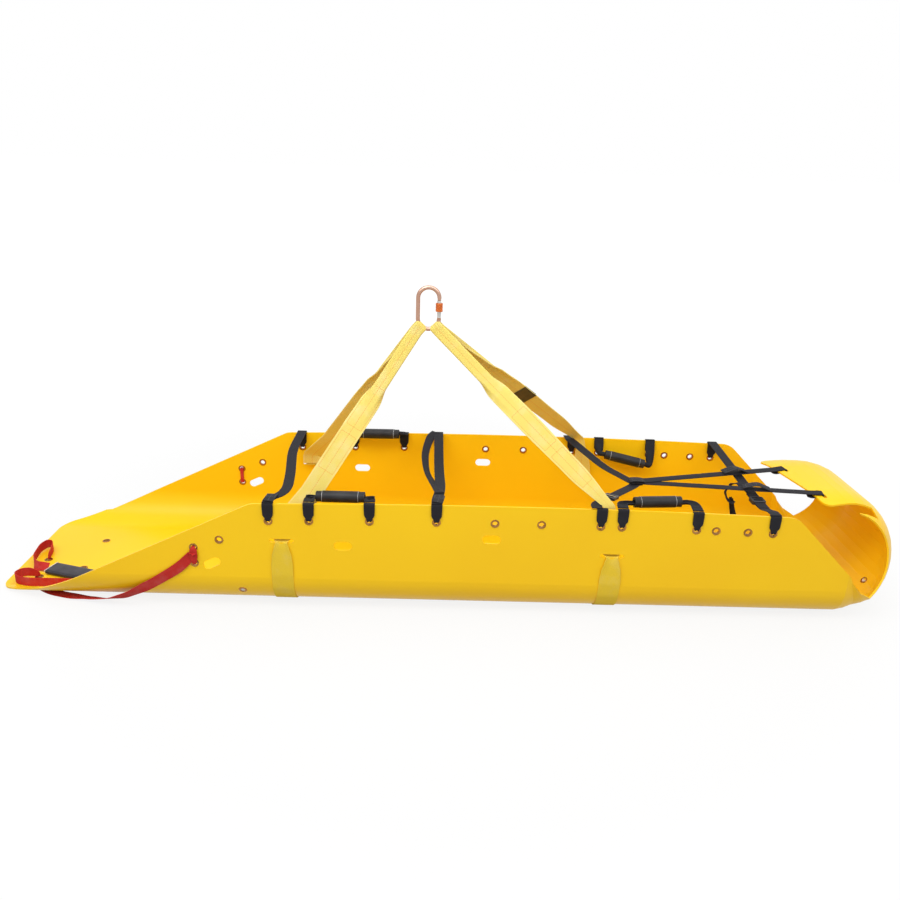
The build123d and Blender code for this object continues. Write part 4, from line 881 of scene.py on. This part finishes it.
class STRETCHER_OT_harness(bpy.types.Operator):
    """Add the harness that draws the foot flap in"""

    bl_idname = "stretcher.harness"
    bl_label = "Flap harness"

    def execute(self, context):
        joint = Vector(HARNESS_JOINT)
        near_over, near_inside = (Vector(p) for p in over_rim(HARNESS_OVER_X, -1))
        far_over, far_inside = (Vector(p) for p in over_rim(HARNESS_OVER_X, 1))
        first = joint + Vector((0, 0, LAYER))
        run = near_inside - first
        level = Vector((run.x, run.y, 0)).normalized()
        landing = first + level * HARNESS_LANDING
        settled = near_inside + (landing - near_inside) * HARNESS_SETTLED
        side = Vector((level.y, -level.x, 0))
        side = side if side.x > 0 else -side
        near_leg = strip("harness_near_webbing", [
            Stop(near_over, (1, 0, 0)), Stop(near_inside, (1, 0, 0)), Stop(settled, side), Stop(landing, side),
            Stop(first - level * HARNESS_OVERRUN, side),
        ], "strap", rounding=12, step=4, ripple=0.1)
        turn = Vector(HARNESS_FAR_TURN)
        reach = (joint - turn).normalized()
        far_side = Vector((-reach.y, reach.x, 0))
        far_side = far_side if far_side.x > 0 else -far_side
        far_leg = strip("harness_far_webbing", [
            Stop(far_over, (1, 0, 0)), Stop(far_inside, (1, 0, 0)),
            Stop(turn, (far_side + Vector((1, 0, 0))) / 2),
            Stop(joint, far_side),
            Stop(joint + Vector((reach.x, reach.y, 0)).normalized() * HARNESS_OVERRUN, far_side),
        ], "strap", rounding=30, step=4, seed=5.0)
        settle(near_leg, "stretcher", "strap_webbing", "harness_near_leg")
        settle(far_leg, "stretcher", "strap_webbing", "harness_far_leg")
        for name, layer in (("near", 2), ("far", 3)):
            self.flap_web(name, joint + Vector((0, 0, LAYER * layer)))
        self.patch(joint)
        dress_node("harness_lock", "buckle")
        middle, half = Vector(LOCK_LINE_MIDDLE), side * LOCK_LINE_HALF
        line = strip("harness_lock_line",
                     [Stop(middle - half, level, 0, 2.4), Stop(middle + half, level, 0, 2.4)],
                     "beige", 0.8, step=2, across=2, ripple=0)
        settle(line, "harness_slider", "buckle_plastic")
        return {"FINISHED"}

    def flap_web(self, name, start):
        """One long web through the flap's slot and back on itself, with a bulge of folded slack."""
        x, y, entry_reach, entry_heights, slot_heights = FLAP_LOOPS[name]
        level = Vector((x - start.x, y - start.y, 0)).normalized()
        side = Vector((-level.y, level.x, 0))
        start = start - level * FLAP_WEB_LAP
        eye = Vector((x, y, 0)) + level * 3
        entry = Vector((x, y, 0)) - level * entry_reach
        up = Vector((0, 0, 1))
        (entry_top, entry_low), (slot_top, slot_low) = entry_heights, slot_heights
        web = strip("web", [
            Stop(start, side), Stop(start.lerp(entry + up * entry_top, 0.4), side, 12),
            Stop(start.lerp(entry + up * entry_top, 0.75), side, 12), Stop(entry + up * entry_top, side),
            Stop(eye + up * slot_top, side), Stop(eye + up * slot_low, side), Stop(entry + up * entry_low, side),
            Stop(entry - level * 9 + up * (entry_low + 2.5), side),
        ], "strap", rounding=3.4, step=3, ripple=0.3, seed=len(name))
        eye = eye + up * slot_top
        middle = start.lerp(eye, 0.66)
        bulge = strip("bulge", [
            Stop(middle - level * 30 + up * 2.6, side), Stop(middle - level * 14 + up * 9, side, 10),
            Stop(middle + level * 4 + up * 14, side, 12), Stop(middle + level * 20 + up * 8, side, 10),
            Stop(middle + level * 34 + up * 3.4, side),
        ], "lit_strap_fold", rounding=14, step=3, seed=len(name) + 9.0)
        node = f"harness_{name}_flap_web"
        settle(join(f"harness_{name}_flap_webbing", [web, bulge]), "stretcher", "strap_webbing", node)

    def patch(self, joint):
        """The sewn patch on the joint, with a turned-over edge."""
        top = joint + Vector((0, 0, LAYER * 4.4 + 0.4))
        patch = strip("harness_patch_webbing", [
            Stop(top + Vector((-19, 0, -1.4)), (0, 1, 0), 0, 27),
            Stop(top + Vector((-14, 0, 0.6)), (0, 1, 0), 8, 27),
            Stop(top + Vector((0, 0, 1.4)), (0, 1, 0), 14, 27),
            Stop(top + Vector((14, 0, 0.4)), (0, 1, 0), 8, 27),
            Stop(top + Vector((19, 0, -1.6)), (0, 1, 0), 0, 27),
        ], "lit_strap_fold", rounding=6, step=2)
        settle(patch, "stretcher", "strap_webbing", "harness_patch")


class STRETCHER_OT_handles(bpy.types.Operator):
    """Add the four grab handles"""

    bl_idname = "stretcher.handles"
    bl_label = "Grab handles"

    def execute(self, context):
        for number, (name, (side, stations, reaches, lean)) in enumerate(HANDLES.items()):
            place = self.place(side, stations, lean)
            half = (stations[1] - stations[0]) / 2
            tilt = math.atan2(reaches[1] - reaches[0], stations[1] - stations[0])
            middle = sum(reaches) / 2
            arms = []
            for sign, reach in ((-1, reaches[0]), (1, reaches[1])):
                arms.append(self.arm(sign, half, reach, middle, tilt, place, number * 5.0 + sign))
                arms.append(self.roll(sign * half, place))
            settle(join(f"{name}_arms", arms), name, "strap_webbing", f"{name}_strap")
            grip = self.grip(f"{name}_sleeve")
            turn = Matrix.Rotation(tilt, 4, "Z") @ Matrix.Rotation(math.pi / 2, 4, "Y")
            lay(grip, place @ Matrix.Translation((0, middle * MM, 0)) @ turn)
            smooth(grip, 30)
            settle(grip, name, "grip_rubber", f"{name}_grip")
        return {"FINISHED"}

    def place(self, side, stations, lean):
        """The handle's own frame: X along its hinge, Y towards the grip."""
        sign = SIDES[side]
        start, end = (Vector((x, sign * HINGE_Y, rim_z(x) + HINGE_RISE)) for x in stations)
        x_dir = (end - start).normalized()
        lean = math.radians(lean)
        y_dir = Vector((0, -sign * math.cos(lean), math.sin(lean)))
        y_dir = (y_dir - x_dir * y_dir.dot(x_dir)).normalized()
        z_dir = x_dir.cross(y_dir)
        turn = Matrix((x_dir, y_dir, z_dir)).transposed().to_4x4()
        return Matrix.Translation((start + end) / 2 * MM) @ turn

    def arm(self, sign, half, reach, middle, tilt, place, seed):
        """One arm of webbing, curled as it turns into the grip."""
        end = Vector((sign * (GRIP_HALF - 6) * math.cos(tilt),
                      middle + sign * (GRIP_HALF - 6) * math.sin(tilt), 0))
        out = Vector((sign * math.cos(tilt), sign * math.sin(tilt), 0))
        turned = Vector((0, sign, 0))
        stops = [
            Stop((sign * half, 0, 0), (1, 0, 0), 0, 25), Stop((sign * half, reach * 0.3, 1.2), (1, 0, 0), 30, 25),
            Stop((sign * (half - 1), reach * 0.75, 2.4), (1, sign * 0.3, 0), 110, 25),
            Stop(end + out * 22 + Vector((0, 1, 1)), (0.5, sign, 0), 190, 22),
            Stop(end + out * 8, turned, 215, 20), Stop(end, turned, 215, 20),
        ]
        return lay(strip("arm", stops, "strap", rounding=11, step=2, across=12, seed=seed), place)

    def roll(self, x, place):
        """The rolled end of an arm, against its rim loop."""
        ring = lathe("roll", [(0.01, -12.5), (ROLL_RADIUS - 0.4, -12.5), (ROLL_RADIUS, -12.1),
                              (ROLL_RADIUS, 12.1),
                              (ROLL_RADIUS - 0.4, 12.5), (0.01, 12.5)], "strap", 16)
        return lay(ring, place @ Matrix.Translation((x * MM, 0, 0)) @ Matrix.Rotation(math.pi / 2, 4, "Y"))

    def grip(self, name):
        """A rubber sleeve with stepped cuffs, ringed at its ends by a thin pale line."""
        half = [(GRIP_BORE, 56), (11.4, 56), (12.3, 55.3), (12.5, 54.4), (12.5, 52.4), (12.1, 52.0), (12.1, 51.4),
                (12.5, 51.0), (12.5, 49.0), (12.1, 48.6), (12.1, 48.0), (12.5, 47.6), (12.5, 43.6), (12.7, 43.1),
                (13.3, 42.8), (13.5, 42.2), (13.5, 41.6), (13.5, 40.9), (13.5, 14.0)]
        profile = half + [(r, -z) for r, z in reversed(half)]
        sleeve = lathe(name, profile, "rubber", 48)
        sleeve.data.materials.append(FINISHES["print_line"])
        for face in sleeve.data.polygons:
            middle = abs(face.center.z) / MM
            radius = math.hypot(face.center.x, face.center.y) / MM
            if 40.9 < middle < 41.6 and radius > 13:
                face.material_index = 1
        return sleeve


class STRETCHER_OT_slings(bpy.types.Operator):
    """Add the two lifting slings"""

    bl_idname = "stretcher.slings"
    bl_label = "Lifting slings"

    def execute(self, context):
        for name, (x, z, sign) in SLING_SLOTS.items():
            legs = self.legs(name, x, z, sign)
            settle(legs, "stretcher", "sling_webbing", f"{name}_sling_legs")
            settle(self.belly(name, x, z), "stretcher", "sling_webbing", f"{name}_sling_belly")
        self.label()
        return {"FINISHED"}

    def legs(self, name, x, z, sign):
        """Both legs and the fold over the carabiner, in one band."""
        middle = math.radians(sign * sum(SADDLE_ANGLES) / 2)
        tangent = Vector((math.cos(middle), 0, math.sin(middle)))
        outward = Vector((math.sin(middle), 0, -math.cos(middle)))
        bow = Vector((CARABINER_X, 0, BOW_Z))
        crest = bow + outward * (BOW_RADIUS - 7.5)
        stops = []
        for side in (-1, 1):
            inside = side * SLING_LANDING_Y
            foot = Vector((x, inside, z + 5))
            if sign > 0:
                foot = Vector((FOOT_SLING_RIM[0], inside, FOOT_SLING_RIM[1]))
            neck = bow + outward * (BOW_RADIUS + 12) + Vector((0, side * 9.5, 0))
            run = foot - neck
            flat = Vector((1, 0, 0)) - run.normalized() * run.normalized().x
            shoulder = bow + outward * (BOW_RADIUS - 1) + Vector((0, side * 8.2, 0))
            leg = [
                Stop(shoulder, tangent, 0, 50, 178), Stop(neck, tangent, 0, 50, 176),
                Stop(neck + run * 0.12, tangent.lerp(flat, 0.2), 0, 50, 160),
                Stop(neck + run * 0.26, tangent.lerp(flat, 0.6), 0, 50, 95),
                Stop(neck + run * 0.38, flat, 0, 50, 22), Stop(neck + run * 0.5, flat, 0, 50, 0),
                Stop(neck + run * 0.8, flat, 0, 50 if sign < 0 else 44, 0),
            ]
            if sign > 0:
                leg += [Stop(foot, (1, 0, 0), 0, 23, 0), Stop((x, inside, z + 30), (1, 0, 0), 0, 44, 0),
                        Stop((x, inside, z + 6), (1, 0, 0), 0, 50, 0)]
            else:
                leg += [Stop(foot + Vector((0, 0, 24)), (1, 0, 0), 0, 50, 0), Stop(foot, (1, 0, 0), 0, 50, 0)]
            stops = (list(reversed(leg)) + [Stop(crest, tangent, 0, 50, 178)]) if side < 0 else stops + leg
        return strip(f"{name}_sling_webbing", stops, "sling", millimetres("sling_thickness"), rounding=7, step=5,
                     across=24, ripple=0.5)

    def belly(self, name, x, z):
        """The band out through the slots and under the sheet, pinched where it leaves them."""
        bend = 85.0
        low = 1.0
        out = HALF_WIDTH + 2.2
        stops = []
        for side in (-1, 1):
            way = [
                (SLING_LANDING_Y, z, 44, 0), (HALF_WIDTH - 1, z - 1, 32, 40), (out + 1, z - 4, 28, 80),
                (out + 2, z - 16, 36, 44), (out + 1, z - 40, 46, 18), (out, z - 64, 50, 4),
                (out, low + bend + 6, 50, 0),
            ]
            leg = [Stop((x, side * y, h), (side, 0, 0), curl, width) for y, h, width, curl in way]
            for angle in (20, 40, 60, 80, 90):
                turn = math.radians(angle)
                leg.append(Stop((x, side * (out - bend + bend * math.cos(turn)),
                                 low + bend - bend * math.sin(turn)),
                                (side, 0, 0), 0, 50))
            stops = leg if side < 0 else stops + [Stop(s.at, -s.side, -s.curl, s.width) for s in reversed(leg)]
        return strip(f"{name}_sling_band", stops, "belly", 1.9, rounding=9, step=5, across=12, ripple=0.1)

    def label(self):
        """A bare dark label sewn round the far leg of the foot sling."""
        bow = Vector((CARABINER_X, 0, BOW_Z))
        middle = math.radians(sum(SADDLE_ANGLES) / 2)
        outward = Vector((math.sin(middle), 0, -math.cos(middle)))
        neck = bow + outward * (BOW_RADIUS + 12) + Vector((0, 9.5, 0))
        foot = Vector((FOOT_SLING_RIM[0], SLING_LANDING_Y, FOOT_SLING_RIM[1]))
        run = foot - neck
        flat = (Vector((1, 0, 0)) - run.normalized() * run.normalized().x).normalized()
        pieces = []
        for face in (-1, 1):
            lift = run.normalized().cross(flat) * face * 2.3
            ends = [neck + run * share + lift for share in (0.52, 0.56, 0.60)]
            pieces.append(strip("label", [Stop(p, flat, 0, 50.5) for p in ends], "label", 0.7, step=3,
                                across=10, ripple=0.1))
        settle(join("sling_label", pieces), "stretcher", "sling_webbing")


class STRETCHER_OT_carabiner(bpy.types.Operator):
    """Finish the carabiner, its gate and its screw sleeve"""

    bl_idname = "stretcher.carabiner"
    bl_label = "Carabiner"

    def execute(self, context):
        dress_node("carabiner_frame", "steel")
        dress_node("carabiner_gate", "gate")
        dress_node("gate_pin", "gate")
        dress_node("gate_sleeve", "sleeve")
        return {"FINISHED"}


class STRETCHER_OT_tow_strap(bpy.types.Operator):
    """Add the tow strap with its coils and its padded handle"""

    bl_idname = "stretcher.tow_strap"
    bl_label = "Tow strap"

    def execute(self, context):
        self.run()
        self.coils()
        self.handle()
        dress_node("tow_strap_far_anchor", "tow")
        return {"FINISHED"}

    def run(self):
        """From the near anchor eyelets down to the floor and in under the tip."""
        run = strip("run", [
            Stop((-583, -246.6, 158), (1, 0, 0), 120, 16), Stop((-585, -248.2, 146), (0.4, 0, 1), 40, 22),
            Stop((-618, -248, 110), (-0.3, 0, 1), 0, 25), Stop((-691, -247.6, 62), (-0.2, -0.2, 1), 0, 25),
            Stop((-752, -242, 28), (0, -0.6, 0.8), 0, 25), Stop((-800, -231, 11), (0, -0.85, 0.5), 0, 25),
            Stop((-846, -219, 5.6), (0, -0.95, 0.3), 0, 25), Stop((-898, -206, 1.8), (0.2, -1, 0.05), 0, 25),
            Stop((-955, -187, 1.2), (0.4, -1, 0), 0, 25), Stop((-1004, -150, 1.2), (0.6, -0.8, 0), 0, 25),
        ], "tow", 1.7, rounding=26, step=3, seed=2.0)
        tab = strip("tab", [
            Stop((-584, -240, 162), (1, 0, 0), 90, 9), Stop((-584, -247.5, 162), (1, 0, 0), 110, 10),
            Stop((-584, -249.4, 156), (1, 0, 0), 60, 17), Stop((-584, -249.6, 142), (1, 0, 0), 20, 19),
            Stop((-584, -249.2, 128), (1, 0, 0), 60, 16), Stop((-584, -247.5, 120.5), (1, 0, 0), 110, 10),
            Stop((-584, -240, 120.5), (1, 0, 0), 90, 9),
        ], "tow", 1.5, rounding=3, step=2, seed=6.0)
        settle(join("tow_strap_webbing", [run, tab]), "stretcher", "tow_webbing", "tow_strap_run")

    def coils(self):
        """The near coil and its run along the tip, and the far coil that feeds the handle, all on edge."""
        up = Vector((0, 0, 1))
        near = ((-1010, -125, 7), (-1016, -126, 17), (-1032, -125, 20), (-1048, -129, 20), (-1058, -147, 20),
                (-1045, -167, 20), (-1010, -176, 20), (-960, -174, 20), (-860, -175, 20), (-740, -173.5, 20))
        stops = [Stop(p, up, 0, 10 if i == 0 else 19 if i == 1 else 23) for i, p in enumerate(near)]
        near_coil = strip("tow_strap_near_webbing", stops, "tow", 1.6, rounding=12, step=3, seed=8.0)
        settle(near_coil, "stretcher", "tow_webbing", "tow_strap_near_coil")
        far = ((-1026, -37, 7), (-1026, -28, 17), (-1028, -6, 20.5), (-1039, 22, 20.5), (-1054, 27, 20.5),
               (-1062, 2, 20.5), (-1053, -58, 20), (-1034, -92, 18), (-1001, -91, 16))
        turns = [up] * 7 + [Vector((0.1, 0.5, 1)), Vector((-0.1, 1, 0.5))]
        stops = [Stop(p, turn, 0, 10 if i == 0 else 19 if i == 1 else 23)
                 for i, (p, turn) in enumerate(zip(far, turns))]
        far_coil = strip("tow_strap_far_webbing", stops, "tow", 1.6, rounding=13, step=3, seed=9.0)
        settle(far_coil, "stretcher", "tow_webbing", "tow_strap_far_coil")

    def handle(self):
        """The flat padded handle: a bound cover with a plain top and pale piping at its strap end."""
        place = (Matrix.Translation(Vector((-1000, -90, 13)) * MM) @ Matrix.Rotation(math.radians(-17), 4, "Z"))
        deselect()
        bpy.ops.mesh.primitive_cube_add(size=1)
        pad = bpy.context.object
        pad.data.transform(Matrix.Translation((0.078, 0, 0)) @ Matrix.Diagonal((0.144, 0.048, 0.0085, 1)))
        pad.data.materials.append(FINISHES["pad"])
        apply_modifier(pad, "BEVEL", width=0.003, segments=4)
        top = strip("top", [Stop((8, 0, 4.5), (0, 1, 0), 6, 41), Stop((148, 0, 4.5), (0, 1, 0), 6, 41)],
                    "pad_top", 0.6, step=3)
        piping = strip("piping", [Stop((6.2, -24, 1), (1, 0, 0), 0, 1.6),
                                  Stop((6.2, -23.6, 4.6), (1, 0, 0), 0, 1.6),
                                  Stop((6.2, 23.6, 4.6), (1, 0, 0), 0, 1.6),
                                  Stop((6.2, 24, 1), (1, 0, 0), 0, 1.6)],
                       "piping", 1.2, rounding=1.5, step=1.5, across=4, ripple=0)
        cover = join("tow_handle_cover", [pad, top, piping])
        lay(cover, place)
        smooth(cover, 40)
        settle(cover, "tow_handle", "tow_grip_fabric", "tow_grip")


class STRETCHER_PT_panel(bpy.types.Panel):
    """The stretcher's pieces, sizes and colours"""

    bl_label = "Rescue stretcher"
    bl_idname = "STRETCHER_PT_panel"
    bl_space_type = "VIEW_3D"
    bl_region_type = "UI"
    bl_category = "Stretcher"

    def draw(self, context):
        for group in (context.scene.stretcher_sizes, context.scene.stretcher_colours):
            for name in group.bl_rna.properties.keys():
                if name not in ("rna_type", "name"):
                    self.layout.prop(group, name)
        for operator in OPERATORS:
            self.layout.operator(operator.bl_idname)


OPERATORS = (
    STRETCHER_OT_stage,
    STRETCHER_OT_sheet,
    STRETCHER_OT_rim_loops,
    STRETCHER_OT_cross_straps,
    STRETCHER_OT_leg_strap,
    STRETCHER_OT_harness,
    STRETCHER_OT_handles,
    STRETCHER_OT_slings,
    STRETCHER_OT_carabiner,
    STRETCHER_OT_tow_strap,
)
CLASSES = (StretcherSizes, StretcherColours, *OPERATORS, STRETCHER_PT_panel)


def register():
    for made in CLASSES:
        bpy.utils.register_class(made)
    bpy.types.Scene.stretcher_sizes = bpy.props.PointerProperty(type=StretcherSizes)
    bpy.types.Scene.stretcher_colours = bpy.props.PointerProperty(type=StretcherColours)


def unregister():
    del bpy.types.Scene.stretcher_colours
    del bpy.types.Scene.stretcher_sizes
    for made in reversed(CLASSES):
        bpy.utils.unregister_class(made)


def main():
    """Build the dressed stretcher."""
    register()
    make_finishes()
    for operator in OPERATORS:
        group, name = operator.bl_idname.split(".")
        getattr(getattr(bpy.ops, group), name)()
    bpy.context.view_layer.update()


if __name__ == "__main__":
    main()
